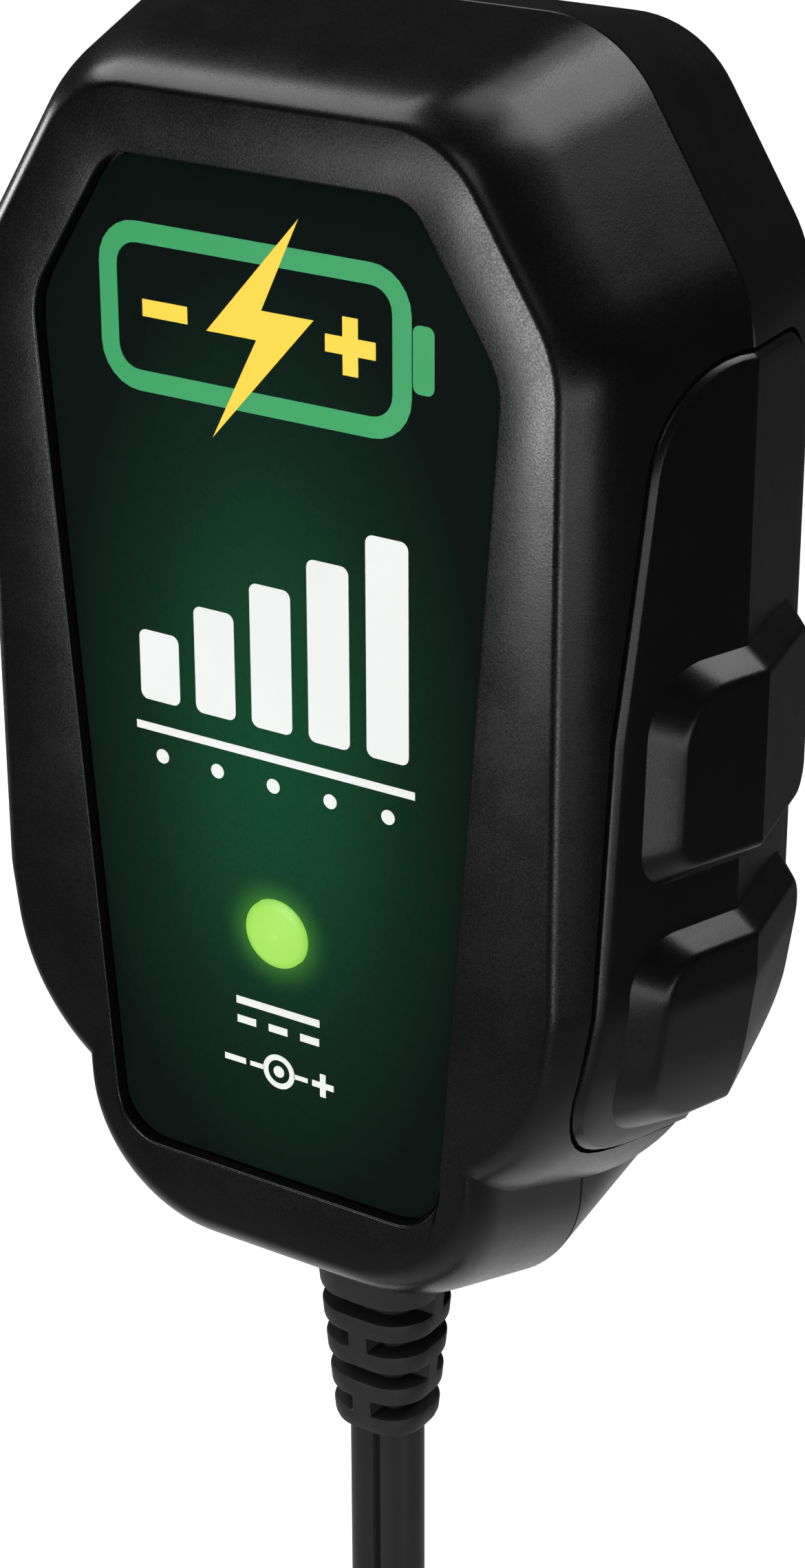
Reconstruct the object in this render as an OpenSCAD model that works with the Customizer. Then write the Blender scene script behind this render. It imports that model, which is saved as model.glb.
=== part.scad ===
// Plug-in battery charger.
// X runs to the right as seen from the front, Y runs back to the wall and Z is up.
// The origin is the middle of the wall face, level with the plug blades.

/* [Housing] */
// Depth of the housing from its front face to the wall face
housing_d = 29; // [29:0.5:36]
// Depth of the front shell, from its front face to the parting line
front_d = 13.5; // [13.4:0.1:17]
// Width of the flat front face
face_w = 41.3; // [41.3:0.1:52]
// Height of the front face above the lamp
face_up = 54; // [54:0.5:66]
// Depth of the chin below the lamp
chin_down = 22.7; // [22.2:0.5:27.7]
// Width of the chin under the cheeks
chin_w = 30.8; // [29:0.2:34]
// Height of the blades above the lamp
lamp_drop = 26; // [25:0.5:27]
// Thickness of the housing walls
wall = 2.5; // [2.4:0.1:3]
// Thickness of the front wall, label recess included
front_wall = 3; // [2.8:0.1:3.6]
// Width of the rounding round the front face
edge_w = 1.8; // [1:0.1:2]
// Depth of the rounding round the front face
edge_d = 5; // [4:0.1:6]
// How much the front shell widens for each millimetre of its depth
front_draft = 0.29; // [0.2:0.01:0.3]
// How much the rear shell narrows for each millimetre of its depth
rear_draft = 0.23; // [0.15:0.01:0.25]

/* [Label and lamp] */
// How far the label lies below the front face
label_sunk = 0.8; // [0.6:0.1:1.2]
// Thickness of the label sheet
label_t = 0.4; // [0.3:0.05:0.5]
// Margin of the front face round the top of the label
label_margin = 3.9; // [3.5:0.1:5]
// Diameter of the lamp lens
lens_d = 4.8; // [4:0.1:6]

/* [Grips] */
// Thickness of the grip panel
grip_t = 1.4; // [1.2:0.1:1.6]
// How far the grip panel stands out of the housing
grip_proud = 0.3; // [0.2:0.1:0.5]
// How far the finger blocks stand out of the housing
block_proud = 1.9; // [1.5:0.1:2.2]
// Width of the slope round each finger block
block_slope = 1.5; // [1.1:0.1:1.6]

/* [Plug] */
// Distance between the two blades
blade_pitch = 12.7; // [12.7:0.1:12.8]
// Thickness of a blade
blade_t = 1.5; // [1.4:0.05:1.6]
// Width of a blade
blade_w = 6.35; // [6:0.05:6.6]
// Length of a blade outside the housing
blade_l = 16.7; // [15.9:0.1:18.3]
// Diameter of the hole near the blade's tip
blade_hole_d = 3.2; // [3:0.1:3.4]

/* [Screws] */
// Diameter of the screw shank
screw_d = 3; // [2.6:0.1:3.2]
// Diameter of the screw head
screw_head_d = 5.5; // [5:0.1:5.6]
// Height of the screw head
screw_head_h = 2; // [1.6:0.1:2.4]
// Diameter of the bosses that the screws run in
boss_d = 6.6; // [6.2:0.1:7]

/* [Circuit board] */
// Thickness of the circuit board
board_t = 1.6; // [1.2:0.1:1.6]
// Depth of the board's front face behind the front face of the housing
board_q = 9; // [9:0.1:9.4]
// Gap between the board's edge and the housing
board_gap = 0.8; // [0.6:0.1:1]

/* [Cord] */
// Width of the flat output cord
cord_w = 5.8; // [5.2:0.1:5.8]
// Thickness of the flat output cord
cord_t = 3.2; // [2.8:0.1:3.3]
// Length of the strain relief outside the housing
relief_l = 14.5; // [14:0.1:20]
// Width of the strain relief where it leaves the housing
relief_w = 9.5; // [9:0.1:10.4]
// Depth of the strain relief where it leaves the housing
relief_t = 8.7; // [8.4:0.1:9.4]
// Radius of the coil's outermost turn
coil_r = 38.5; // [37:0.5:41]
// Gap between neighbouring turns and between the coil's two layers
turn_gap = 0.5; // [0.45:0.05:0.7]

/* [Connector] */
// Distance between the connector's pin and its socket
pole_pitch = 9; // [8.6:0.1:9.6]
// Diameter of the connector's pin
pin_d = 3.96; // [3.9:0.01:4]
// Bore of the connector's socket
socket_d = 4.06; // [4.04:0.01:4.1]
// Length of the pin and of the socket
pole_l = 9.5; // [8:0.1:11]

/* [Hidden] */

$fn = 48;
eps = 0.01;            // overlap that keeps a cut from leaving a skin
edge_gap = 0.15;       // gap round a sheet that is let into a pocket
fit_gap = 0.25;        // gap between pieces that are pushed together
run_gap = 0.3;         // gap between pieces that must not touch
arc_steps = 5;         // facets in each rounded corner of the housing
edge_steps = 4;        // facets across the rounding of the front edge

// ---- Outlines -------------------------------------------------------------------------------
// An edge is [angle of its outward normal, distance from the lamp]. Edges run counter-clockwise
// from the bottom, and the left half mirrors the right one.

function crossing(a, b) = let(s = sin(b[0] - a[0]))
    [(a[1] * sin(b[0]) - b[1] * sin(a[0])) / s, (b[1] * cos(a[0]) - a[1] * cos(b[0])) / s];

function mirrored(edges) = concat(edges,
    [for (i = [len(edges) - 2:-1:1]) [180 - edges[i][0], edges[i][1]]]);

function both(radii) = concat(radii, [for (i = [len(radii) - 1:-1:0]) radii[i]]);

function rounded(edges, radii, steps) = [for (i = [0:len(edges) - 1])
    let(a = edges[i], b0 = edges[(i + 1) % len(edges)],
        b = [b0[0] < a[0] ? b0[0] + 360 : b0[0], b0[1]], r = radii[i],
        c = crossing([a[0], a[1] - r], [b[0], b[1] - r]))
    for (k = [0:steps]) let(t = a[0] + (b[0] - a[0]) * k / steps) c + r * [cos(t), sin(t)]];

function grown(edges, by) = [for (e = edges) [e[0], e[1] + by]];

// ---- Housing form ---------------------------------------------------------------------------
// q is the depth behind the front face. The housing widens to the parting line and then narrows.

shoulder_a = 32;                        // slope of the cut corners, from the horizontal normal
shoulder_d = face_w / 2 + face_up * 0.3528;   // distance of the cut corners from the lamp
cheek_a = -7.5;                         // slope of the cheeks' lower sides
cheek_d = face_w / 2 - 0.15;
cheek_down = 14.6;                      // depth of the cheeks below the lamp
cheek_swell = 1.25;                     // how much more than the sides the cheeks' underside widens
cheek_r = 12.8;                         // rounding of the cheeks' lower corners at the front face
cheek_r_swell = 1.15;                   // and how much more than the sides it widens
rear_edge_w = 1.5;                      // rounding round the wall face
rear_edge_d = 2.5;
rear_d = housing_d - front_d;
widest = edge_w + front_draft * front_d;
rear_base = widest - rear_edge_w - rear_draft * rear_d;

function quarter(q, w, d) = w * sqrt(1 - pow(1 - min(q, d) / d, 2));

function growth(q) = q <= front_d ? quarter(q, edge_w, edge_d) + front_draft * q
    : rear_base + quarter(housing_d - q, rear_edge_w, rear_edge_d) + rear_draft * (housing_d - q);

chin_edge_w = 1.3;                      // rounding and draft of the chin
chin_edge_d = 3;
chin_draft = 0.01;
chin_rear_draft = 0.04;
chin_swell = 1.17;                      // how much more than the sides the chin's underside widens
chin_fall = 0.08;                       // and what it gains for each millimetre behind the parting line
chin_widest = chin_edge_w + chin_draft * front_d;
chin_base = chin_widest - chin_edge_w - chin_rear_draft * rear_d;

function chin_growth(q) = q <= front_d ? quarter(q, chin_edge_w, chin_edge_d) + chin_draft * q
    : chin_base + quarter(housing_d - q, chin_edge_w, rear_edge_d) + chin_rear_draft * (housing_d - q);

function main_outline(q, h, steps = arc_steps) = let(g = growth(q))
    rounded(mirrored([[-90, cheek_down + cheek_swell * g + h], [cheek_a, cheek_d + g + h], [0, face_w / 2 + g + h],
        [shoulder_a, shoulder_d + 0.95 * g + h], [90, face_up + 0.8 * g + h]]),
        both([cheek_r + cheek_r_swell * g + h, 8 + h, 9 + 0.3 * g + h, 7 + 0.3 * g + h]), steps);

chin_top = 20;                          // the chin's form ends inside the main form here
chin_r = 9.6;                           // rounding of the chin's corners at the front face
chin_r_fall = 0.05;                     // and what it loses for each millimetre of depth

function chin_bottom(q) = chin_down + chin_swell * growth(q) + chin_fall * max(0, q - front_d);

function chin_outline(q, h) = let(g = chin_growth(q))
    rounded(mirrored([[-90, chin_bottom(q) + h], [-3, chin_w / 2 + g + h],
        [90, chin_top]]),
        both([chin_r - chin_r_fall * q + h, 1]), arc_steps);

function at_depth(points, q) = [for (p = points) [p[0], q - housing_d, p[1] - lamp_drop]];

front_stops = concat([for (k = [0:edge_steps]) edge_d * (1 - cos(90 * k / edge_steps))], [front_d]);
rear_stops = concat([front_d], [for (k = [3:-1:0]) housing_d - rear_edge_d * (1 - cos(30 * k))]);

// A solid skinned over rings of points, each with as many points as the next. The points of a ring
// run counter-clockwise when the first ring is looked at from outside.
module skin(rings) {
    n = len(rings[0]);
    last = len(rings) - 1;
    polyhedron(
        points = [for (ring = rings) for (p = ring) p],
        faces = concat(
            [[for (i = [n - 1:-1:0]) i]],
            [[for (i = [0:n - 1]) last * n + i]],
            [for (k = [0:last - 1]) for (i = [0:n - 1]) let(j = (i + 1) % n)
                [k * n + i, k * n + j, (k + 1) * n + j]],
            [for (k = [0:last - 1]) for (i = [0:n - 1]) let(j = (i + 1) % n)
                [k * n + i, (k + 1) * n + j, (k + 1) * n + i]]));
}

// The housing's main form between two depths, moved out by h.
module main_form(stops, h = 0) {
    skin([for (q = stops) at_depth(main_outline(q, h), q)]);
}

module chin_form(stops, h = 0) {
    skin([for (q = stops) at_depth(chin_outline(q, h), q)]);
}

// A straight prism through the housing's depth, from an outline round the lamp.
module prism(points, q0, q1) {
    translate([0, q0 - housing_d, -lamp_drop]) rotate([90, 0, 0]) mirror([0, 0, 1])
        linear_extrude(height = q1 - q0) polygon(points);
}

// A rod along Y between two depths.
module rod(x, z, r, q0, q1) {
    translate([x, q0 - housing_d, z]) rotate([-90, 0, 0]) cylinder(r = r, h = q1 - q0);
}

// ---- Label, plate and lamp --------------------------------------------------------------------

label_edges = [[-90, chin_down - 4.5], [-4.4, face_w / 2 - 6.65], [shoulder_a, shoulder_d - label_margin],
    [90, face_up - label_margin]];
label_radii = [3.5, 6, 3];
recess_q = label_sunk + label_t;
lens_hole_d = lens_d + 2 * fit_gap;
lens_flange_d = lens_d + 2.2;
lens_end_q = front_wall + 0.95;

function label_outline(gap) = rounded(mirrored(grown(label_edges, -gap)), both(label_radii), 6);

module front_label() {
    color([0.05, 0.15, 0.10])
    difference() {
        prism(label_outline(edge_gap), label_sunk, recess_q);
        rod(0, -lamp_drop, lens_hole_d / 2, 0, recess_q + 1);
    }
}

plate_w = 27;
plate_h = 25;
plate_t = 0.35;
plate_z = -25;                          // middle of the plate, from the blades
plate_r = 2;

// A rectangle across X and Z with round corners, drawn in by gap, as deep as t from the wall face.
module plate_shape(gap, t) {
    r = plate_r - gap;
    translate([0, 0, plate_z]) rotate([90, 0, 0]) linear_extrude(height = t)
        polygon([for (a = [0:3]) for (k = [0:6]) let(u = a * 90 + 15 * k,
            sx = a == 0 || a == 3 ? 1 : -1, sz = a < 2 ? 1 : -1)
            [sx * (plate_w / 2 - plate_r) + r * cos(u), sz * (plate_h / 2 - plate_r) + r * sin(u)]]);
}

module rating_plate() {
    color([0.16, 0.16, 0.17]) plate_shape(edge_gap, plate_t);
}

module lamp_lens() {
    dome_h = 0.25;
    r = lens_d / 2;
    color([0.70, 0.94, 0.40])
    translate([0, -housing_d, -lamp_drop]) rotate([-90, 0, 0]) rotate_extrude() polygon([
        [0, label_sunk - dome_h], [0.4 * r, label_sunk - 0.85 * dome_h],
        [0.75 * r, label_sunk - 0.5 * dome_h], [r, label_sunk], [r, front_wall + fit_gap],
        [lens_flange_d / 2, front_wall + fit_gap], [lens_flange_d / 2, lens_end_q], [0, lens_end_q]]);
}

module status_led() {
    top_q = lens_end_q + run_gap;
    color([0.45, 0.80, 0.40])
    translate([0, -housing_d, -lamp_drop]) rotate([-90, 0, 0]) rotate_extrude() polygon([
        [0, top_q], [0.8, top_q + 0.22], [1.3, top_q + 0.75], [1.5, top_q + 1.5], [1.5, board_q - 1],
        [1.9, board_q - 1], [1.9, board_q], [0, board_q]]);
}

// ---- Grips ----------------------------------------------------------------------------------
// Outlines in the side view: [depth behind the front face, height above the lamp].

// Each corner is [q, z, radius]; corners run round the outline.
function corner_arc(a, p, b, r, steps) =
    let(u = (a - p) / norm(a - p), v = (b - p) / norm(b - p), half = acos(u * v) / 2,
        c = p + (u + v) / norm(u + v) * r / sin(half), s = p + u * r / tan(half) - c,
        e = p + v * r / tan(half) - c, turn = 180 - 2 * half,
        way = s[0] * e[1] - s[1] * e[0] > 0 ? 1 : -1, t0 = atan2(s[1], s[0]))
    [for (k = [0:steps]) let(t = t0 + way * turn * k / steps) c + r * [cos(t), sin(t)]];

function side_outline(corners, steps) = [for (i = [0:len(corners) - 1])
    let(n = len(corners), a = corners[(i + n - 1) % n], p = corners[i], b = corners[(i + 1) % n])
    each corner_arc([a[0], a[1]], [p[0], p[1]], [b[0], b[1]], p[2], steps)];

grip_rear_q = front_d + 12.3;
grip_corners = [[1.8, -13.5, 7.4], [grip_rear_q - 1, -12, 6], [grip_rear_q, 38.4, 5], [6.4, 41.1, 7],
    [3.3, 18, 14]];

block_rear_q = grip_rear_q - 0.6;
upper_block = [[5, 7.4, 2.6], [block_rear_q, 6.7, 2.6], [block_rear_q, 21.4, 3.4], [5.4, 22, 4.4]];
lower_block = [[4.4, -11.4, 5.5], [block_rear_q - 0.6, -11.4, 6], [block_rear_q, 3.5, 2.6], [4.4, 4.2, 3.6]];

// A corner list drawn in by d. It is right for outlines whose sides run along the two axes.
function drawn_in(corners, d) = let(m = [for (c = corners) c], mid_q = front_d,
    mid_z = (m[0][1] + m[2][1]) / 2)
    [for (c = m) [c[0] + (c[0] < mid_q ? d : -d), c[1] + (c[1] < mid_z ? d : -d), max(c[2] - d / 2, 0.6)]];

// A prism along X from x0 to x1, from a side outline.
module side_prism(points, x0, x1) {
    translate([x0, -housing_d, -lamp_drop]) rotate([90, 0, 90])
        linear_extrude(height = x1 - x0) polygon(points);
}

inner_x = 15;
outer_x = face_w / 2 + widest + block_proud + 4;
all_stops = concat(front_stops, [for (i = [1:len(rear_stops) - 1]) rear_stops[i]]);

module finger_block(corners) {
    hull() {
        intersection() {
            main_form(all_stops, grip_proud - 0.2);
            side_prism(side_outline(corners, 4), inner_x, outer_x);
        }
        intersection() {
            main_form(all_stops, block_proud);
            side_prism(side_outline(drawn_in(corners, block_slope), 4), inner_x, outer_x);
        }
    }
}

module side_grip() {
    difference() {
        union() {
            intersection() {
                main_form(all_stops, grip_proud);
                side_prism(side_outline(grip_corners, 4), inner_x, outer_x);
            }
            finger_block(upper_block);
            finger_block(lower_block);
        }
        main_form(all_stops, grip_proud - grip_t);
    }
}

module side_grip_right() {
    color([0.10, 0.10, 0.10]) side_grip();
}

module side_grip_left() {
    color([0.10, 0.10, 0.10]) mirror([1, 0, 0]) side_grip();
}

// The seat of a grip in the housing.
grip_gap = 0.3;

module grip_seat() {
    for (m = [0, 1]) mirror([m, 0, 0])
        difference() {
            side_prism(side_outline([for (c = grip_corners)
                [c[0] + (c[0] < front_d ? -grip_gap : grip_gap), c[1] + (c[1] < 10 ? -grip_gap : grip_gap),
                    c[2] + grip_gap]], 4), inner_x, outer_x);
            main_form(all_stops, grip_proud - grip_t - fit_gap);
        }
}

// ---- Strain relief and the cord's exit ---------------------------------------------------------

exit_y = front_d - housing_d;           // the cord leaves on the parting line
chin_floor_z = -lamp_drop - chin_bottom(front_d);
relief_top_z = chin_floor_z - run_gap;
relief_end_z = relief_top_z - relief_l;
neck_w = relief_w - 1;
neck_t = relief_t - 1;
flange_w = relief_w + 2.6;
flange_t = relief_t + 1.4;
flange_h = 2.2;
flange_z = chin_floor_z + wall + 1.9;
slot_pitch = 2.8;
slot_h = 1.25;
slot_depth = 1.5;
slot_web = 1.5;
slot_count = floor((relief_l - 3) / slot_pitch);

function pill(w, t, r, z, steps = 5) = [for (a = [0:3]) for (k = [0:steps])
    let(u = a * 90 + 90 * k / steps, sx = a == 0 || a == 3 ? 1 : -1, sy = a < 2 ? 1 : -1)
    [sx * (w / 2 - r) + r * cos(u), exit_y + sy * (t / 2 - r) + r * sin(u), z]];

relief_taper = 0.27;                    // what the relief's end loses of its width, from 0 to 1

function relief_ring(u, inset) = let(k = 1 - relief_taper * u)
    pill(relief_w * k - 2 * inset, relief_t * k - 2 * inset, 3.5 * k - inset,
        relief_top_z - relief_l * u);

// The part of a slot ring that two webs leave open: webs on the sides, or on the front and back.
module slot_ring(z, webs_on_sides) {
    u = (relief_top_z - z) / relief_l;
    k = 1 - relief_taper * u;
    translate([0, exit_y, z]) difference() {
        cube([relief_w + 4, relief_t + 4, slot_h], center = true);
        cube([relief_w * k - 2 * slot_depth, relief_t * k - 2 * slot_depth, slot_h + 1], center = true);
        if (webs_on_sides) cube([relief_w + 5, slot_web, slot_h + 1], center = true);
        else cube([slot_web, relief_t + 5, slot_h + 1], center = true);
    }
}

module strain_relief() {
    color([0.09, 0.09, 0.09]) {
        difference() {
            skin([for (r = [[0, 0], [0.955, 0], [0.985, 0.35], [1, 0.9]]) relief_ring(r[0], r[1])]);
            for (i = [1:slot_count])
                slot_ring(relief_end_z + 2.5 + (i - 1) * slot_pitch, i % 2 == 0);
        }
        skin([pill(neck_w, neck_t, 2.6, flange_z + eps), pill(neck_w, neck_t, 2.6, relief_top_z - eps)]);
        skin([pill(flange_w, flange_t, 2.6, flange_z + flange_h), pill(flange_w, flange_t, 2.6, flange_z)]);
    }
}

module relief_hole() {
    skin([for (z = [chin_floor_z + wall + 2, chin_floor_z - 2])
        pill(neck_w + 2 * fit_gap, neck_t + 2 * fit_gap, 2.6 + fit_gap, z)]);
}

// ---- Shells ---------------------------------------------------------------------------------

boss_x = 14;                            // upper and lower pairs of screw bosses
boss_z = face_up - lamp_drop - 8;
low_boss_x = 15.4;
low_boss_z = -33;
boss_places = [[boss_x, boss_z], [-boss_x, boss_z], [low_boss_x, low_boss_z], [-low_boss_x, low_boss_z]];
pilot_d = screw_d + 2 * fit_gap;
screw_hole_d = screw_d + 2 * run_gap;
screw_seat_q = board_q + board_t + 7.4;
sink_d = screw_head_d + 0.5;
sunk_boss_d = sink_d + 2.4;
screw_tip_q = front_wall + 2;

cavity_front = [front_wall, edge_d + 1, front_d + eps];
cavity_rear = [front_d - eps, housing_d - wall];

module front_housing() {
    color([0.09, 0.09, 0.09])
    difference() {
        union() {
            main_form(front_stops);
            chin_form(front_stops);
        }
        difference() {
            union() {
                main_form(cavity_front, -wall);
                chin_form(cavity_front, -wall);
            }
            for (p = boss_places) rod(p[0], p[1], boss_d / 2, 0, board_q);
        }
        for (p = boss_places) rod(p[0], p[1], pilot_d / 2, screw_tip_q - 0.5, front_d + 1);
        prism(label_outline(0), -1, recess_q);
        rod(0, -lamp_drop, lens_hole_d / 2, 0, front_wall + 1);
        grip_seat();
        relief_hole();
    }
}

blade_x = blade_pitch / 2;
blade_slot_gap = 0.15;

module blade_slot(x, q0, q1) {
    translate([x - blade_t / 2 - blade_slot_gap, q0 - housing_d, -blade_w / 2 - blade_slot_gap])
        cube([blade_t + 2 * blade_slot_gap, q1 - q0, blade_w + 2 * blade_slot_gap]);
}

module rear_housing() {
    boss_end_q = board_q + board_t;
    color([0.09, 0.09, 0.09])
    difference() {
        union() {
            difference() {
                union() {
                    main_form(rear_stops);
                    chin_form(rear_stops);
                }
                main_form(cavity_rear, -wall);
                chin_form(cavity_rear, -wall);
            }
            for (p = boss_places) {
                rod(p[0], p[1], boss_d / 2, boss_end_q, housing_d - wall + eps);
                rod(p[0], p[1], sunk_boss_d / 2, screw_seat_q - 2, housing_d - wall + eps);
            }
        }
        for (p = boss_places) {
            rod(p[0], p[1], screw_hole_d / 2, boss_end_q - 1, housing_d + 1);
            rod(p[0], p[1], sink_d / 2, screw_seat_q, housing_d + 1);
        }
        for (side = [-1, 1]) blade_slot(side * blade_x, housing_d - wall - 1, housing_d + 1);
        translate([0, 1, 0]) plate_shape(0, plate_t + 1);
        grip_seat();
        relief_hole();
    }
}

module housing_screws() {
    color([0.62, 0.62, 0.60])
    for (p = boss_places)
        difference() {
            union() {
                rod(p[0], p[1], screw_d / 2, screw_tip_q, screw_seat_q + eps);
                rod(p[0], p[1], screw_head_d / 2, screw_seat_q, screw_seat_q + screw_head_h);
            }
            for (a = [0, 90]) translate([p[0], screw_seat_q + screw_head_h - housing_d, p[1]])
                rotate([0, a, 0]) cube([screw_head_d * 0.6, screw_head_h * 1.1, 0.9], center = true);
        }
}

// ---- Plug blades ------------------------------------------------------------------------------

carrier_w = blade_pitch + 9.3;
carrier_h = blade_w + 7.6;
carrier_t = 4;
blade_tail = 3;                         // length of a blade behind its carrier

module blade_carrier() {
    color([0.85, 0.82, 0.74])
    difference() {
        translate([-carrier_w / 2, -wall - carrier_t, -carrier_h / 2])
            cube([carrier_w, carrier_t, carrier_h]);
        for (side = [-1, 1]) blade_slot(side * blade_x, housing_d - wall - carrier_t - 1, housing_d);
    }
}

module blade(x) {
    root_y = -wall - carrier_t - blade_tail;
    nose = 1.2;
    color([0.80, 0.72, 0.45])
    difference() {
        translate([x + blade_t / 2, 0, 0]) rotate([0, -90, 0]) linear_extrude(height = blade_t)
            polygon([[-blade_w / 2, root_y], [blade_w / 2, root_y], [blade_w / 2, blade_l - nose],
                [blade_w / 2 - nose, blade_l], [-blade_w / 2 + nose, blade_l],
                [-blade_w / 2, blade_l - nose]]);
        translate([x - blade_t, blade_l - 4.9, 0]) rotate([0, 90, 0])
            cylinder(d = blade_hole_d, h = 2 * blade_t);
    }
}

module line_blade() {
    blade(-blade_x);
}

module neutral_blade() {
    blade(blade_x);
}

// ---- Circuit board and what stands on it ---------------------------------------------------------

board_y = board_q + board_t - housing_d;        // the board's rear face, where the parts stand
board_reach = growth(board_q) - wall - board_gap;
tongue_w = 20;
tongue_drop = 16;                               // how far the board's tongue reaches below the lamp

module circuit_board() {
    color([0.10, 0.36, 0.18])
    difference() {
        union() {
            prism(main_outline(board_q, -wall - board_gap, 6), board_q, board_q + board_t);
            prism([[-tongue_w / 2, -tongue_drop], [tongue_w / 2, -tongue_drop], [tongue_w / 2, 0],
                [-tongue_w / 2, 0]], board_q, board_q + board_t);
        }
        for (p = boss_places) rod(p[0], p[1], screw_hole_d / 2 + 0.1, board_q - 1, board_q + board_t + 1);
    }
}

// A block on the board: middle, size across, size up, height off the board, lift above it.
module on_board(x, z, w, h, tall, lift = 0) {
    translate([x - w / 2, board_y + lift, z - h / 2]) cube([w, tall, h]);
}

// A round can on the board.
module can(x, z, d, tall) {
    translate([x, board_y, z]) rotate([-90, 0, 0]) rotate_extrude() polygon([
        [0, 0], [d / 2 - 0.3, 0], [d / 2 - 0.3, 0.8], [d / 2 - 0.7, 1.1], [d / 2 - 0.7, 1.5], [d / 2, 1.9],
        [d / 2, tall - 0.5], [d / 2 - 0.5, tall], [0, tall]]);
}

// A thin round leg from the board up.
module leg(x, z, tall, r = 0.4) {
    translate([x, board_y, z]) rotate([-90, 0, 0]) cylinder(r = r, h = tall);
}

fuse_z = boss_z + 1.5;
cap_row_z = boss_z - 6.5;                // the mains filter capacitor's row
board_side = face_w / 2 + board_reach;   // half the board's width

module fuse() {
    r = 2.4;
    l = 14;
    lift = 0.8;
    color([0.88, 0.88, 0.84]) {
        translate([-l / 2, board_y + lift + r, fuse_z]) rotate([0, 90, 0]) cylinder(r = r, h = l);
        for (side = [-1, 1]) leg(side * (l / 2 - 1), fuse_z, lift + r);
    }
}

module varistor() {
    color([0.15, 0.35, 0.70]) {
        translate([-board_side + 7.9, board_y + 5.1, cap_row_z - 4.5]) cylinder(d = 9, h = 3.6);
        for (side = [-1, 1]) leg(-board_side + 7.9 + side * 2.5, cap_row_z - 2.7, 3);
    }
}

module filter_capacitor() {
    color([0.90, 0.78, 0.20]) on_board(3, cap_row_z, 13, 5.4, 10.6);
}

module filter_choke() {
    color([0.75, 0.45, 0.20])
    translate([0, board_y + 0.5, 2]) rotate([-90, 0, 0]) rotate_extrude()
        translate([4.3, 2.6]) circle(r = 1.9);
    color([0.15, 0.15, 0.15]) on_board(0, 2, 4, 4, 0.9);
    color([0.15, 0.15, 0.15]) on_board(0, 2, 9.4, 2, 0.9);
}

module bridge_rectifier() {
    color([0.12, 0.12, 0.12]) {
        on_board(14, 4, 8.4, 6.3, 3.2, 0.2);
        for (x = [11.5, 16.5]) for (z = [2, 6]) leg(x, z, 0.4);
    }
}

module bulk_capacitor() {
    color([0.10, 0.12, 0.20]) can(-board_side + 5.9, -3, 10, 11.4);
}

transformer_x = 1.5;
transformer_z = -17.5;
core_w = 19;
core_h = 15;
core_t = 4.6;                            // thickness of a core's back and outer legs
centre_leg = 4.8;
winding_w = 8;                           // room between the outer legs, across
coil_lift = 1.2;

// Two E-shaped ferrite halves, one on the board's side and one towards the wall.
module transformer_core() {
    tall = 13.4;
    joint = 0.02;
    color([0.16, 0.16, 0.17])
    for (half = [0, 1]) {
        y0 = board_y + coil_lift + half * (tall / 2 + joint / 2);
        h = tall / 2 - joint / 2;
        back_y = half == 0 ? y0 : y0 + h - 2.6;
        translate([transformer_x - core_w / 2, back_y, transformer_z - centre_leg / 2])
            cube([core_w, 2.6, centre_leg]);
        for (x = [-core_w / 2, core_w / 2 - 2.6])
            translate([transformer_x + x, y0, transformer_z - centre_leg / 2]) cube([2.6, h, centre_leg]);
        translate([transformer_x, y0, transformer_z]) rotate([-90, 0, 0]) cylinder(d = centre_leg, h = h);
    }
}

bobbin_bore = centre_leg + 2 * fit_gap;
bobbin_barrel = bobbin_bore + 1.2;
flange_gap = 8.2 - 2 * fit_gap;          // height of the bobbin between the core's backs
bobbin_y = board_y + coil_lift + 2.6 + fit_gap;

module transformer_bobbin() {
    across = core_w - 2 * 2.6 - 2 * run_gap;
    color([0.14, 0.14, 0.15])
    difference() {
        union() {
            translate([transformer_x, bobbin_y, transformer_z]) rotate([-90, 0, 0])
                cylinder(d = bobbin_barrel, h = flange_gap);
            for (y = [0, flange_gap - 0.8])
                translate([transformer_x - across / 2, bobbin_y + y, transformer_z - core_h / 2])
                    cube([across, 0.8, core_h]);
            for (side = [-1, 1])
                translate([transformer_x - across / 2, board_y,
                    transformer_z + side * (core_h / 2 - 1.2) - 1.2])
                    cube([across, bobbin_y - board_y + 0.4, 2.4]);
        }
        translate([transformer_x, board_y - 1, transformer_z]) rotate([-90, 0, 0])
            cylinder(d = bobbin_bore, h = 20);
    }
}

module transformer_winding() {
    w = core_w - 2 * 2.6 - 2 * run_gap - 0.4;
    h = core_h - 1.6;
    y0 = bobbin_y + 0.8 + 0.02;
    tall = flange_gap - 1.6 - 0.04;
    r = 4;
    color([0.93, 0.80, 0.25])
    difference() {
        translate([transformer_x, y0, transformer_z]) rotate([-90, 0, 0]) linear_extrude(height = tall)
            polygon([for (a = [0:3]) for (k = [0:4]) let(u = a * 90 + 22.5 * k,
                sx = a == 0 || a == 3 ? 1 : -1, sy = a < 2 ? 1 : -1)
                [sx * (w / 2 - r) + r * cos(u), sy * (h / 2 - r) + r * sin(u)]]);
        translate([transformer_x, y0 - 1, transformer_z]) rotate([-90, 0, 0])
            cylinder(d = bobbin_barrel + 2 * fit_gap, h = tall + 2);
    }
}

// A flat power device standing on three legs with its back to a heat sink.
module power_device(x, z, w) {
    color([0.12, 0.12, 0.12]) {
        on_board(x, z, w, 8, 9.4, 2.2);
        for (s = [-1, 0, 1]) leg(x, z + s * 2.3, 2.4, 0.45);
    }
}

module sink_plate(x, z, t, fold) {
    color([0.72, 0.73, 0.74]) {
        on_board(x, z, t, 14, 12.6, 0);
        on_board(x + fold, z - 6.2, abs(fold) * 2 + t, 1.6, 12.6, 0);
    }
}

device_t = 3.2;
sink_t = 1.6;
switch_x = 14.6;
rectifier_x = -13.4;

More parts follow.
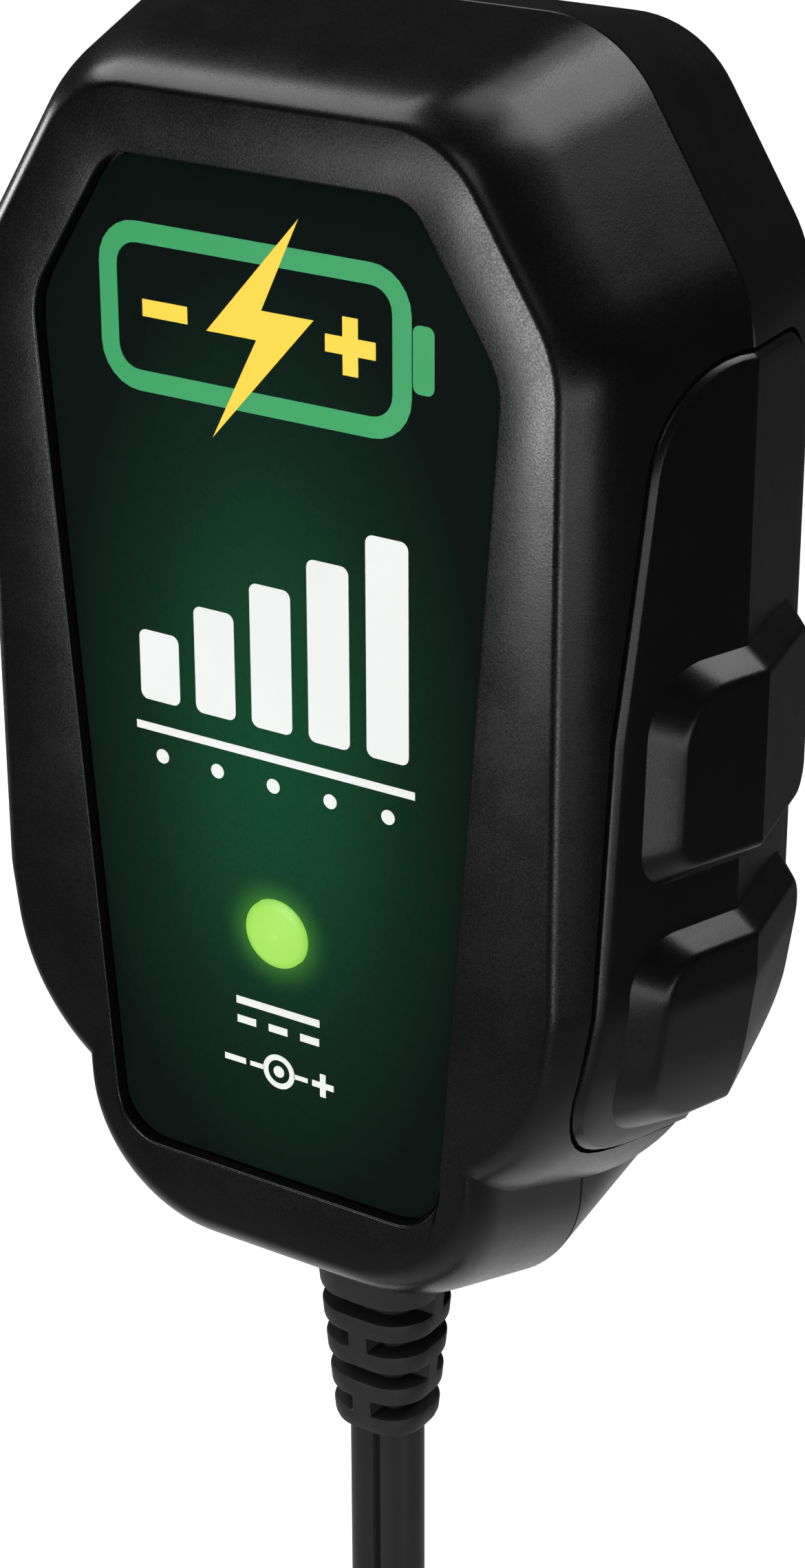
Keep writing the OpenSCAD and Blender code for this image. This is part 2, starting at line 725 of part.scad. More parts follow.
module switch_transistor() {
    power_device(switch_x, transformer_z + 4, device_t);
}

module transistor_heat_sink() {
    sink_plate(switch_x + device_t / 2 + sink_t / 2, transformer_z + 4, sink_t, -1);
}

module output_rectifier() {
    power_device(rectifier_x, transformer_z - 3, device_t);
}

module rectifier_heat_sink() {
    sink_plate(rectifier_x - device_t / 2 - sink_t / 2, transformer_z - 3, sink_t, 1);
}

module controller_chip() {
    color([0.12, 0.12, 0.12]) on_board(14, -3, 4, 5, 1.5, 0.1);
    color([0.75, 0.75, 0.75]) for (side = [-1, 1]) for (k = [-1.5:1:1.5])
        on_board(14 + side * 2.4, -3 + k * 1.27, 1.2, 0.42, 0.5);
}

module bridging_capacitor() {
    x = -board_side + 7.4;
    color([0.20, 0.45, 0.75]) {
        translate([x, board_y + 4.2, -12.4]) cylinder(d = 7, h = 2.8);
        for (side = [-1, 1]) leg(x + side * 2, -11, 3);
    }
}

module output_capacitors() {
    color([0.12, 0.10, 0.16]) for (x = [-7, 2]) can(x, low_boss_z + 0.6, 8, 12);
}

module optocoupler() {
    color([0.93, 0.93, 0.90]) {
        on_board(9.4, low_boss_z + 1.5, 4.2, 6.4, 3.4, 0.4);
        for (side = [-1, 1]) for (k = [-1, 1]) leg(9.4 + side * 1.6, low_boss_z + 1.5 + k * 1.3, 0.8);
    }
}

module resistors() {
    color([0.55, 0.70, 0.80])
    for (x = [14.6, 18]) {
        translate([x, board_y + 2, cap_row_z - 6]) cylinder(d = 2.3, h = 6);
        for (z = [1, 5]) leg(x, cap_row_z - 6 + z, 1.6, 0.35);
    }
}

// ---- Wires and cords ----------------------------------------------------------------------------

function unit(v) = v / norm(v);

function heading(path, i) = unit(path[min(i + 1, len(path) - 1)] - path[max(i - 1, 0)]);

// A point list smoothed by a curve through all of its points, with n steps between them.
function curve(pts, n) = concat([for (i = [0:len(pts) - 2]) for (k = [0:n - 1])
    let(a = pts[max(i - 1, 0)], b = pts[i], c = pts[i + 1], d = pts[min(i + 2, len(pts) - 1)], t = k / n)
    0.5 * (2 * b + (c - a) * t + (2 * a - 5 * b + 4 * c - d) * t * t + (3 * b - a - 3 * c + d) * t * t * t)],
    [pts[len(pts) - 1]]);

// A round wire along a path that never runs along X.
module wire(path, d) {
    skin([for (i = [0:len(path) - 1])
        let(t = heading(path, i), u = unit(cross([1, 0, 0], t)), v = cross(t, u))
        [for (a = [0:45:315]) path[i] + d / 2 * (cos(a) * v + sin(a) * u)]]);
}

// A ring of the flat cord at p, heading along t, with its wide side turned out of the plane across Y.
// Each of its two round sides has as many facets as steps.
function cord_ring(p, t, turn, steps) = let(n = cross([0, 1, 0], t), lobe = (cord_w - cord_t) / 2,
    w = cos(turn) * n + sin(turn) * [0, 1, 0], v = cross(w, t))
    [for (side = [0, 180]) for (k = [0:steps]) let(a = side - 90 + 180 * k / steps)
        p + (lobe * cos(side) + cord_t / 2 * cos(a)) * w + cord_t / 2 * sin(a) * v];

tail_y = -wall - carrier_t - blade_tail;
lead_y = tail_y - 0.3;                  // the leads end here, at the blades
lead_d = 1.8;

module line_lead() {
    x = -blade_x;
    color([0.10, 0.10, 0.10]) wire(curve([[x, lead_y, 1.5], [x - 0.2, tail_y - 1.5, 1.9],
        [x - 0.4, tail_y - 3, 4], [x - 0.2, tail_y - 4.5, 8], [x, tail_y - 6, cap_row_z - 2],
        [x, tail_y - 7.5, cap_row_z + 1.2], [x, board_y, cap_row_z + 1.6]], 3), lead_d);
}

module neutral_lead() {
    x = blade_x;
    color([0.92, 0.92, 0.90]) wire(curve([[x, lead_y, 1.5], [x + 0.4, tail_y - 1.2, 1.9],
        [x + 2, tail_y - 2.2, 3.2], [x + 4, tail_y - 3, 5.4], [x + 5.2, tail_y - 4.4, 7.6],
        [x + 5.4, tail_y - 6.4, 8.8], [x + 5.4, board_y, 9]], 3), lead_d);
}

// One core of the output cord, from the strain relief up to the board's tongue.
module output_lead(x) {
    z0 = flange_z + flange_h;
    wire(curve([[x, exit_y, z0 + 0.1], [x, exit_y, z0 + 1.6], [x * 1.2, exit_y - 0.8, z0 + 3.6],
        [x * 1.5, board_y + 1.4, z0 + 5.2], [x * 1.5, board_y + 0.1, z0 + 5.4]], 3), lead_d);
}

module positive_lead() {
    color([0.70, 0.10, 0.08]) output_lead(1.5);
}

module negative_lead() {
    color([0.10, 0.10, 0.10]) output_lead(-1.5);
}

// The coil hangs below the housing with its axis along Y. The cord runs clockwise round it, in from
// the outermost turn on the rear layer, then out again on the front layer.
coil_start = 35;                        // degrees clockwise from the top
coil_turns = 9 + (90 - coil_start) / 360;       // the cord leaves the coil straight down
coil_z = -156;
coil_pitch = cord_t + turn_gap;
coil_layer = cord_w + turn_gap;
steps_a_turn = 24;
coil_steps = round(coil_turns * steps_a_turn);
run_out = cord_w;                       // straight stretch at each end of the coil

// The innermost half turn climbs from one layer to the other at an even radius, and the half turns
// before and after it spiral twice as fast to keep clear of it.
coil_in_r = coil_r - coil_pitch * (coil_turns / 2 + 0.25);

function coil_reach(u) = let(v = abs(u - coil_turns / 2))
    coil_in_r + coil_pitch * max(0, min(2 * v - 0.5, v + 0.25));

function coil_climb(u) = let(t = min(max(2 * u - coil_turns + 0.5, 0), 1)) t * t * (3 - 2 * t);

function coil_point(u) = let(a = coil_start + 360 * u, r = coil_reach(u))
    [r * sin(a), exit_y - coil_layer * coil_climb(u), coil_z + r * cos(a)];

function coil_way(u) = let(a = coil_start + 360 * u) [cos(a), 0, -sin(a)];

coil_in = coil_point(0) - run_out * coil_way(0);
coil_out = coil_point(coil_turns) + run_out * coil_way(coil_turns);
coil_path = concat([coil_in], [for (i = [0:coil_steps]) coil_point(coil_turns * i / coil_steps)], [coil_out]);

// Gap between two stretches of cord half a turn or more apart, from their middle lines.
function least_gap(path) = min([for (i = [0:len(path) - 1]) for (j = [i + steps_a_turn / 2:len(path) - 1])
    let(d = path[i] - path[j]) max(abs(d[1]) - cord_w, norm([d[0], d[2]]) - cord_t)]);
echo(coil_gap = least_gap(coil_path));

module cord_coil() {
    color([0.13, 0.13, 0.13])
    skin(concat(
        [cord_ring(coil_in, coil_way(0), 90, 2)],
        [for (i = [0:coil_steps]) let(u = coil_turns * i / coil_steps)
            cord_ring(coil_point(u), coil_way(u), 90, 2)],
        [cord_ring(coil_out, coil_way(coil_turns), 90, 2)]));
}

// Stretch from the strain relief to the coil: straight down, an arc, and straight into the coil.
lead_in = 2 * run_out;
arc_r = (coil_r * sin(coil_start) - lead_in * cos(coil_start)) / (1 - sin(coil_start));
arc_z = coil_in[2] + run_out * sin(coil_start) + arc_r * cos(coil_start);
twist_z = -86;                          // the flat cord starts to turn a quarter round here
straight_steps = 5;
free_path = concat(
    [for (k = [0:straight_steps - 1])
        [0, exit_y, relief_end_z + (arc_z - relief_end_z) * k / straight_steps]],
    [for (a = [0:11:90 - coil_start]) [arc_r * (1 - cos(a)), exit_y, arc_z - arc_r * sin(a)]],
    [coil_in]);

function run_to(i) = i == 0 ? 0 : run_to(i - 1) + norm(free_path[i] - free_path[i - 1]);

twist_start = relief_end_z - twist_z;
twist_end = run_to(len(free_path) - 2);

module output_cord() {
    n = len(free_path) - 1;
    color([0.13, 0.13, 0.13])
    skin([for (i = [0:n]) cord_ring(free_path[i],
        i == 0 ? [0, 0, -1] : i == n ? coil_way(0) : heading(free_path, i),
        90 * min(max((run_to(i) - twist_start) / (twist_end - twist_start), 0), 1), 5)]);
}

// Stretch from the coil down to the connector.
tail_drop = 24;
tail_end = [coil_out[0], coil_out[1], coil_out[2] - tail_drop];

module cord_tail() {
    color([0.13, 0.13, 0.13])
    skin([for (k = [0:6]) cord_ring(coil_out + (tail_end - coil_out) * k / 6, [0, 0, -1], 90, 5)]);
}

tie_a = 50;                             // the tie's place, degrees clockwise from the top
tie_w = 6;
tie_t = 1.1;
tie_gap = 0.7;

module cord_tie() {
    in_r = coil_in_r - cord_t / 2 - tie_gap;
    out_r = coil_r + cord_t / 2 + tie_gap;
    rear = exit_y + cord_w / 2 + run_gap;
    front = exit_y - coil_layer - cord_w / 2 - run_gap;
    color([0.05, 0.05, 0.05])
    translate([0, 0, coil_z]) rotate([0, tie_a, 0]) translate([-tie_w / 2, 0, 0])
        difference() {
            translate([0, front - tie_t, in_r - tie_t])
                cube([tie_w, rear - front + 2 * tie_t, out_r - in_r + 2 * tie_t]);
            translate([-1, front, in_r]) cube([tie_w + 2, rear - front, out_r - in_r]);
        }
}

// ---- Connector ----------------------------------------------------------------------------------

shell_w = pole_pitch + 7.2;
shell_t = 8;
shell_l = 19;
collar_l = 7;
pole_z = tail_end[2] - collar_l - shell_l;
barrel_d = 7.2;
socket_wall = 0.5;
pin_x = tail_end[0] + pole_pitch / 2;
socket_x = tail_end[0] - pole_pitch / 2;
pole_y = tail_end[1];

function shell_ring(w, t, r, drop) = [for (a = [0:3]) for (k = [0:3])
    let(u = a * 90 + 30 * k, sx = a == 0 || a == 3 ? 1 : -1, sy = a < 2 ? 1 : -1)
    [tail_end[0] + sx * (w / 2 - r) + r * cos(u), tail_end[1] + sy * (t / 2 - r) + r * sin(u),
        tail_end[2] - drop]];

shank_d = pin_d - 0.7;                  // the pin is thinner inside the shell
shank_l = 6;
pin_root_z = pole_z - 1.2;

module pole(x, d, z0, z1) {
    translate([x, pole_y, z0]) cylinder(d = d, h = z1 - z0);
}

module connector_shell() {
    socket_end = pole_z - pole_l - 1;
    color([0.07, 0.07, 0.07])
    difference() {
        union() {
            skin([shell_ring(6.8, 7.2, 2.4, 0), shell_ring(8.4, 6.6, 2.4, collar_l),
                shell_ring(shell_w, shell_t, 3, collar_l + 3),
                shell_ring(shell_w, shell_t, 3, collar_l + shell_l - 1),
                shell_ring(shell_w - 1.4, shell_t - 1.4, 2.6, collar_l + shell_l)]);
            pole(socket_x, barrel_d, socket_end, pole_z + 2);
            pole(pin_x, pin_d + 3, pin_root_z, pole_z + 2);
        }
        pole(socket_x, socket_d + 2 * socket_wall + 2 * fit_gap, pole_z - pole_l - run_gap, pole_z + run_gap);
        pole(socket_x, socket_d + 0.8, socket_end - 1, pole_z - 1);
        pole(pin_x, shank_d + 2 * fit_gap, pole_z - 2, pole_z + shank_l + run_gap);
    }
}

module connector_pin() {
    color([0.80, 0.70, 0.40]) {
        pole(pin_x, pin_d, pin_root_z - pole_l, pin_root_z);
        pole(pin_x, shank_d, pin_root_z - eps, pole_z + shank_l);
        translate([pin_x, pole_y, pin_root_z - pole_l]) mirror([0, 0, 1])
            rotate_extrude() polygon([[0, -eps], [pin_d / 2, -eps], [pin_d / 2, 0], [pin_d / 2 - 0.35, 0.7],
                [pin_d / 2 - 1, 1.15], [0, 1.3]]);
    }
}

module connector_socket() {
    color([0.80, 0.70, 0.40])
    difference() {
        pole(socket_x, socket_d + 2 * socket_wall, pole_z - pole_l, pole_z);
        pole(socket_x, socket_d, pole_z - pole_l - 1, pole_z + 1);
    }
}

// ---- Nodes --------------------------------------------------------------------------------------

front_housing();
rear_housing();
front_label();
rating_plate();
lamp_lens();
status_led();
side_grip_left();
side_grip_right();
blade_carrier();
line_blade();
neutral_blade();
housing_screws();
circuit_board();
fuse();
varistor();
filter_capacitor();
filter_choke();
bridge_rectifier();
bulk_capacitor();
transformer_core();
transformer_bobbin();
transformer_winding();
switch_transistor();
transistor_heat_sink();
controller_chip();
bridging_capacitor();
output_rectifier();
rectifier_heat_sink();
output_capacitors();
optocoupler();
resistors();
line_lead();
neutral_lead();
positive_lead();
negative_lead();
strain_relief();
output_cord();
cord_coil();
cord_tail();
cord_tie();
connector_shell();
connector_pin();
connector_socket();
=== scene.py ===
from math import acos, atan2, copysign, cos, pi, radians, sin, sqrt, tan

import bmesh
import bpy
import numpy as np
from mathutils import Matrix, Vector


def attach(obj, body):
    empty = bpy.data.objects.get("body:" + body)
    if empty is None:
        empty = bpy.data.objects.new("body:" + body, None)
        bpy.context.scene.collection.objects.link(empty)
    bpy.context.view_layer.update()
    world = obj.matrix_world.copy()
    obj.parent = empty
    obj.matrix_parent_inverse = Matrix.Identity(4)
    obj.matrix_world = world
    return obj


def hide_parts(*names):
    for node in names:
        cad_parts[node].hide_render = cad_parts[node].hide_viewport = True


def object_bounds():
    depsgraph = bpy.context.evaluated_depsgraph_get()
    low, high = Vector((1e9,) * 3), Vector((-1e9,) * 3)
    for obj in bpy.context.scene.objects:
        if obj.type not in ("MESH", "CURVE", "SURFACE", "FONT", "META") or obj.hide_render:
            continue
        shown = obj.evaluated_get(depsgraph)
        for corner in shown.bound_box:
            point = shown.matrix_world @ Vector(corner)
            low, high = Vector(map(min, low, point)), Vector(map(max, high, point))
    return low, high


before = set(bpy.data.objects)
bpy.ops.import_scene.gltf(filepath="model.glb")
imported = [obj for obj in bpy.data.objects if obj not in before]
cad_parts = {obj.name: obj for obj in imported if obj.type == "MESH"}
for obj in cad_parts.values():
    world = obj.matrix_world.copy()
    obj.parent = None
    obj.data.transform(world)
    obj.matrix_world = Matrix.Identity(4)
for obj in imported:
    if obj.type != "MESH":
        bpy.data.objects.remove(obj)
cad_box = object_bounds()
scene = bpy.context.scene
MM = 0.001

# ---- Sizes, in millimetres, as the CAD has them ----
# q is the depth behind the front face. Outlines are drawn round the lamp, which is LAMP_DROP below
# the plug blades.

HOUSING_D, FRONT_D, LAMP_DROP = 29, 13.5, 26
FACE_W, FACE_UP = 41.3, 54
CHIN_DOWN, CHIN_W, CHIN_TOP = 22.7, 30.8, 20
CHIN_SWELL, CHIN_FALL, CHEEK_SWELL, CHEEK_R, CHEEK_R_SWELL = 1.17, 0.08, 1.25, 12.8, 1.15
WALL, FRONT_WALL = 2.5, 3
EDGE_W, EDGE_D, FRONT_DRAFT, REAR_DRAFT = 1.8, 5, 0.29, 0.23
REAR_EDGE_W, REAR_EDGE_D = 1.5, 2.5
CHIN_EDGE_W, CHIN_EDGE_D, CHIN_DRAFT, CHIN_REAR_DRAFT = 1.3, 3, 0.01, 0.04
CHEEK_A, CHEEK_DOWN, SHOULDER_A = -7.5, 14.6, 32
SHOULDER_D = FACE_W / 2 + FACE_UP * 0.3528
SIDE_BEND, SHOULDER_GROWTH, TOP_GROWTH, CORNER_GROWTH = 0.15, 0.95, 0.8, 0.3
SIDE_R, SHOULDER_R, TOP_R = 8, 9, 7
CHIN_SIDE_A, CHIN_R, CHIN_R_FALL, CHIN_TOP_R = -3, 9.6, 0.05, 1
LABEL_SUNK, LABEL_T, LABEL_MARGIN, LABEL_GAP = 0.8, 0.4, 3.9, 0.15
LABEL_LOW_MARGIN, LABEL_SIDE_MARGIN, LABEL_SIDE_A, LABEL_RADII = 4.5, 6.65, -4.4, [3.5, 6, 3]
LENS_HOLE_R = 2.65
LABEL_HOLE_R = LENS_HOLE_R - 0.2
GRIP_T, GRIP_PROUD, GRIP_GAP = 1.4, 0.3, 0.3
BLOCK_PROUD, BLOCK_SLOPE = 1.9, 1.5
CORD_W, CORD_T, TURN_GAP = 5.8, 3.2, 0.5
RUN_GAP, FIT_GAP = 0.3, 0.25

EXIT_Y = FRONT_D - HOUSING_D
REAR_DEPTH = HOUSING_D - FRONT_D
WIDEST = EDGE_W + FRONT_DRAFT * FRONT_D
REAR_BASE = WIDEST - REAR_EDGE_W - REAR_DRAFT * REAR_DEPTH
CHIN_BASE = CHIN_DRAFT * FRONT_D - CHIN_REAR_DRAFT * REAR_DEPTH
CHIN_FLOOR_Z = -LAMP_DROP - CHIN_DOWN - CHIN_SWELL * WIDEST
RELIEF_L, RELIEF_W, RELIEF_T, RELIEF_TAPER = 14.5, 9.5, 8.7, 0.27
RELIEF_TOP_Z = CHIN_FLOOR_Z - RUN_GAP
RELIEF_END_Z = RELIEF_TOP_Z - RELIEF_L


def show(name, data):
    """A new object in the scene."""
    made = bpy.data.objects.new(name, data)
    scene.collection.objects.link(made)
    return made


# ---- Camera ----

def make_camera():
    """The photo's camera, as solved in the part's frame."""
    az, el, roll = (radians(a) for a in (33.19, 24.23, -0.18))
    back = Vector((sin(az) * cos(el), -cos(az) * cos(el), sin(el)))
    level = Vector((cos(az), sin(az), 0))
    up = back.cross(level)
    right = level * cos(roll) + up * sin(roll)
    top = up * cos(roll) - level * sin(roll)
    turn = Matrix((right, top, back)).transposed().to_4x4()
    camera = show("camera", bpy.data.cameras.new("camera"))
    camera.data.sensor_width = 36
    camera.data.lens = 36 * 5067 / 2279
    camera.data.clip_start, camera.data.clip_end = 0.01, 20
    camera.matrix_world = Matrix.Translation((0.11704, -0.19218, 0.07522)) @ turn
    scene.camera = camera


make_camera()


# ---- Mesh helpers ----

def loft(rings, joined=False):
    """Points and faces of a skin over rings of equal length, with its ends closed or joined."""
    n, m = len(rings[0]), len(rings)
    faces = [(k * n + i, k * n + (i + 1) % n, (k + 1) % m * n + (i + 1) % n, (k + 1) % m * n + i)
             for k in range(m if joined else m - 1) for i in range(n)]
    if not joined:
        faces += [tuple(range(n - 1, -1, -1)), tuple(range((m - 1) * n, m * n))]
    return np.concatenate([np.asarray(r, float) for r in rings]), faces


def unit(v):
    return v / np.linalg.norm(v)


def circle(x, y, r, steps=32):
    return [(x + r * cos(2 * pi * i / steps), y + r * sin(2 * pi * i / steps)) for i in range(steps)]


CORNERS = (1, 1), (-1, 1), (-1, -1), (1, -1)


def rounded_box(x, y, w, h, r, steps=6):
    """A rectangle round a point, with rounded corners."""
    ring = []
    for a, (sx, sy) in enumerate(CORNERS):
        for k in range(steps + 1):
            u = radians(90 * a + 90 * k / steps)
            ring.append((x + sx * (w / 2 - r) + r * cos(u), y + sy * (h / 2 - r) + r * sin(u)))
    return ring


def level_box(x, y, w, t, r, z):
    """A rounded rectangle that lies level at a height."""
    return [(a, b, z) for a, b in rounded_box(x, y, w, t, r, 8)]


def upright(x, y, stops):
    """A round solid along Z, through each (radius, height)."""
    return loft([[(a, b, z) for a, b in circle(x, y, r, 48)] for r, z in stops])


def solid(name, parts):
    """An object in millimetres, from a list of (points, faces)."""
    points, faces = [], []
    for some_points, some_faces in parts:
        base = len(points)
        points += [tuple(map(float, p)) for p in some_points]
        faces += [tuple(base + i for i in f) for f in some_faces]
    mesh = bpy.data.meshes.new(name)
    mesh.from_pydata(points, [], faces)
    work = bmesh.new()
    work.from_mesh(mesh)
    bmesh.ops.recalc_face_normals(work, faces=work.faces)
    work.to_mesh(mesh)
    work.free()
    return show(name, mesh)


def combine(piece, other, operation):
    """Cuts other out of piece, or joins it on."""
    step = piece.modifiers.new("step", "BOOLEAN")
    step.operation, step.solver, step.object = operation, "EXACT", other
    bpy.context.view_layer.update()
    made = bpy.data.meshes.new_from_object(piece.evaluated_get(bpy.context.evaluated_depsgraph_get()))
    piece.modifiers.clear()
    piece.data = made
    bpy.data.objects.remove(other)


def cut(piece, *parts):
    """Cuts solids, which are (points, faces), out of a piece."""
    combine(piece, solid("cutter", parts), "DIFFERENCE")


def keep(piece, material, *nodes, angle=28, slot=None):
    """Scales a piece to metres, shades it, and lets it stand for its CAD nodes."""
    piece.data.transform(Matrix.Scale(MM, 4))
    piece.data.shade_smooth()
    piece.data.set_sharp_from_angle(angle=radians(angle))
    piece.data.materials.clear()
    piece.data.materials.append(material)
    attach(piece, "root")
    if nodes:
        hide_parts(*nodes)
    return piece


def round_bar(x, z, r, q0, q1, steps=48):
    """A rod along Y between two depths."""
    return loft([[(a, q - HOUSING_D, b) for a, b in circle(x, z, r, steps)] for q in (q0, q1)])


def block(low, high):
    """A box between two corners."""
    (x0, y0, z0), (x1, y1, z1) = low, high
    return loft([[(x0, y0, z), (x1, y0, z), (x1, y1, z), (x0, y1, z)] for z in (z0, z1)])


# ---- Materials ----

def srgb(r, g, b):
    """A colour from 0 to 255 as linear light."""
    linear = [v / 255 / 12.92 if v <= 10 else ((v / 255 + 0.055) / 1.055) ** 2.4 for v in (r, g, b)]
    return (*linear, 1)


def grey(v):
    """A grey as linear light."""
    return (v, v, v, 1)


def scaled(colour, k):
    """A colour k times as bright."""
    return tuple(min(c * k, 1) for c in colour[:3]) + (1,)


class Nodes:
    """A material's node tree, with short ways to add to it."""

    def __init__(self, name):
        self.material = bpy.data.materials.new(name)
        self.material.use_nodes = True
        self.tree = self.material.node_tree
        self.place = self.add("ShaderNodeTexCoord").outputs["Object"]

    def feed(self, node, inputs):
        """Gives a node's inputs their values, or links them to outputs."""
        for key, value in inputs.items():
            if isinstance(value, bpy.types.NodeSocket):
                self.tree.links.new(value, node.inputs[key])
            else:
                node.inputs[key].default_value = value

    def look(self, inputs):
        """Feeds the shader, and gives the finished material."""
        self.feed(self.tree.nodes["Principled BSDF"], inputs)
        return self.material

    def add(self, kind, inputs=None, **settings):
        made = self.tree.nodes.new(kind)
        for key, value in settings.items():
            setattr(made, key, value)
        self.feed(made, inputs or {})
        return made

    def noise(self, scale, detail=2, rough=0.5, stretch=None):
        place = self.place
        if stretch:
            place = self.add("ShaderNodeMapping", {"Scale": stretch, "Vector": place}).outputs["Vector"]
        return self.add("ShaderNodeTexNoise", {"Scale": scale, "Detail": detail, "Roughness": rough,
                                               "Vector": place}).outputs["Fac"]

    def ramp(self, value, stops):
        """A colour between stops of (value, colour)."""
        made = self.add("ShaderNodeValToRGB", {"Fac": value})
        line = made.color_ramp
        line.elements[0].position, line.elements[0].color = stops[0]
        line.elements[1].position, line.elements[1].color = stops[-1]
        for place, colour in stops[1:-1]:
            line.elements.new(place).color = colour
        return made.outputs["Color"]

    def spread(self, value, low, high, to_low=0.0, to_high=1.0):
        """Maps low and high to to_low and to_high."""
        return self.add("ShaderNodeMapRange", {"Value": value, "From Min": low, "From Max": high,
                                               "To Min": to_low, "To Max": to_high}).outputs["Result"]

    def maths(self, operation, a, b=0.0):
        return self.add("ShaderNodeMath", {0: a, 1: b}, operation=operation).outputs["Value"]

    def length(self, a, b):
        squares = self.maths("ADD", self.maths("MULTIPLY", a, a), self.maths("MULTIPLY", b, b))
        return self.maths("SQRT", squares)

    def bump(self, height, distance):
        return self.add("ShaderNodeBump", {"Distance": distance, "Strength": 1,
                                           "Height": height}).outputs["Normal"]

    def from_lamp(self):
        """X, Z, and the distance from the lamp's middle, seen from the front."""
        place = self.add("ShaderNodeSeparateXYZ", {"Vector": self.place}).outputs
        return place["X"], place["Z"], self.length(place["X"], self.maths("ADD", place["Z"], LAMP_DROP * MM))


def moulded(name, colour, rough, grain=5200, depth=0.006, specular=0.5, metal=0.0, wear=0.12,
            streaks=None, speckle=0.02):
    """A surface with a fine moulded grain, faint patches of sheen and small changes of colour. The
    grain's depth is in millimetres."""
    t = Nodes(name)
    base = t.ramp(t.noise(90, 3), [(0.3, scaled(colour, 1 - wear)), (0.7, scaled(colour, 1 + wear))])
    fine = t.noise(grain, 2, 0.6, streaks)
    sheen = t.maths("ADD", t.spread(t.noise(260, 3), 0.3, 0.7, rough - 0.03, rough + 0.03),
                    t.spread(fine, 0.3, 0.7, -speckle, speckle))
    return t.look({"Base Color": base, "Roughness": sheen, "Normal": t.bump(fine, depth * MM),
                   "Metallic": metal, "Specular IOR Level": specular})


CASE = moulded("case_plastic", srgb(9, 9, 9), 0.26, grain=8200, depth=0.006, specular=0.16,
               speckle=0.06)
GRIP = moulded("grip_rubber", srgb(8, 8, 8), 0.27, grain=8200, depth=0.005, specular=0.16)
CORD_SKIN = moulded("cord_vinyl", srgb(30, 30, 30), 0.42, grain=2600, depth=0.006, specular=0.15,
                    streaks=(1, 1, 0.25))
RELIEF_SKIN = moulded("relief_vinyl", srgb(33, 33, 33), 0.5, grain=4200, depth=0.008, specular=0.15)
CONNECTOR_SKIN = moulded("connector_vinyl", srgb(20, 20, 21), 0.46, grain=4600, depth=0.008)


# ---- Outlines ----

def crossing(a, b):
    """Where two edges meet."""
    ta, tb = radians(a[0]), radians(b[0])
    s = sin(tb - ta)
    return ((a[1] * sin(tb) - b[1] * sin(ta)) / s, (b[1] * cos(ta) - a[1] * cos(tb)) / s)


ARC_STEPS = 28


def half_outline(edges, radii):
    """The right half of a rounded outline, from the middle of its bottom to the middle of its top.
    An edge is (angle of its outward normal, distance from the lamp)."""
    points = [(0, -edges[0][1])]
    for a, b, r in zip(edges, edges[1:], radii):
        cx, cz = crossing((a[0], a[1] - r), (b[0], b[1] - r))
        for k in range(ARC_STEPS + 1):
            t = radians(a[0] + (b[0] - a[0]) * k / ARC_STEPS)
            points.append((cx + r * cos(t), cz + r * sin(t)))
    points.append((0, edges[-1][1]))
    return np.array(points)


def quarter(q, w, d):
    """How far an edge w wide and d deep has come out at a depth."""
    return w * sqrt(max(0, 1 - (1 - min(q, d) / d) ** 2))


def growth(q):
    """How far the main form stands out beyond the front face at a depth."""
    if q <= FRONT_D:
        return quarter(q, EDGE_W, EDGE_D) + FRONT_DRAFT * q
    return REAR_BASE + quarter(HOUSING_D - q, REAR_EDGE_W, REAR_EDGE_D) + REAR_DRAFT * (HOUSING_D - q)


def chin_growth(q):
    """The same for the chin's sides."""
    if q <= FRONT_D:
        return quarter(q, CHIN_EDGE_W, CHIN_EDGE_D) + CHIN_DRAFT * q
    return (CHIN_BASE + quarter(HOUSING_D - q, CHIN_EDGE_W, REAR_EDGE_D)
            + CHIN_REAR_DRAFT * (HOUSING_D - q))


def main_half(q, h):
    """The main form's outline at a depth, moved out by h."""
    g = growth(q)
    half = FACE_W / 2 + g + h
    corner = CORNER_GROWTH * g + h
    return half_outline([(-90, CHEEK_DOWN + CHEEK_SWELL * g + h), (CHEEK_A, half - SIDE_BEND), (0, half),
                         (SHOULDER_A, SHOULDER_D + SHOULDER_GROWTH * g + h),
                         (90, FACE_UP + TOP_GROWTH * g + h)],
                        [CHEEK_R + CHEEK_R_SWELL * g + h, SIDE_R + h, SHOULDER_R + corner, TOP_R + corner])


def chin_half(q, h):
    """The chin's outline at a depth, moved out by h. Its top lies inside the main form."""
    bottom = CHIN_DOWN + CHIN_SWELL * growth(q) + CHIN_FALL * max(0, q - FRONT_D)
    return half_outline([(-90, bottom + h), (CHIN_SIDE_A, CHIN_W / 2 + chin_growth(q) + h), (90, CHIN_TOP)],
                        [CHIN_R - CHIN_R_FALL * q + h, CHIN_TOP_R])


def label_half(gap):
    """The label recess's outline, moved in by gap."""
    return half_outline([(-90, CHIN_DOWN - LABEL_LOW_MARGIN - gap),
                         (LABEL_SIDE_A, FACE_W / 2 - LABEL_SIDE_MARGIN - gap),
                         (SHOULDER_A, SHOULDER_D - LABEL_MARGIN - gap),
                         (90, FACE_UP - LABEL_MARGIN - gap)], LABEL_RADII)


def along(points):
    """How far along a line each of its points lies."""
    return np.concatenate([[0], np.cumsum(np.linalg.norm(np.diff(points, axis=0), axis=1))])


def resample(points, n):
    """The same line in n equal steps."""
    points = np.asarray(points, float)
    run = along(points)
    at = np.linspace(0, run[-1], n + 1)
    return np.column_stack([np.interp(at, run, column) for column in points.T])


def whole(half):
    """A closed outline from its right half."""
    return np.vstack([half, half[-2:0:-1] * (-1, 1)])


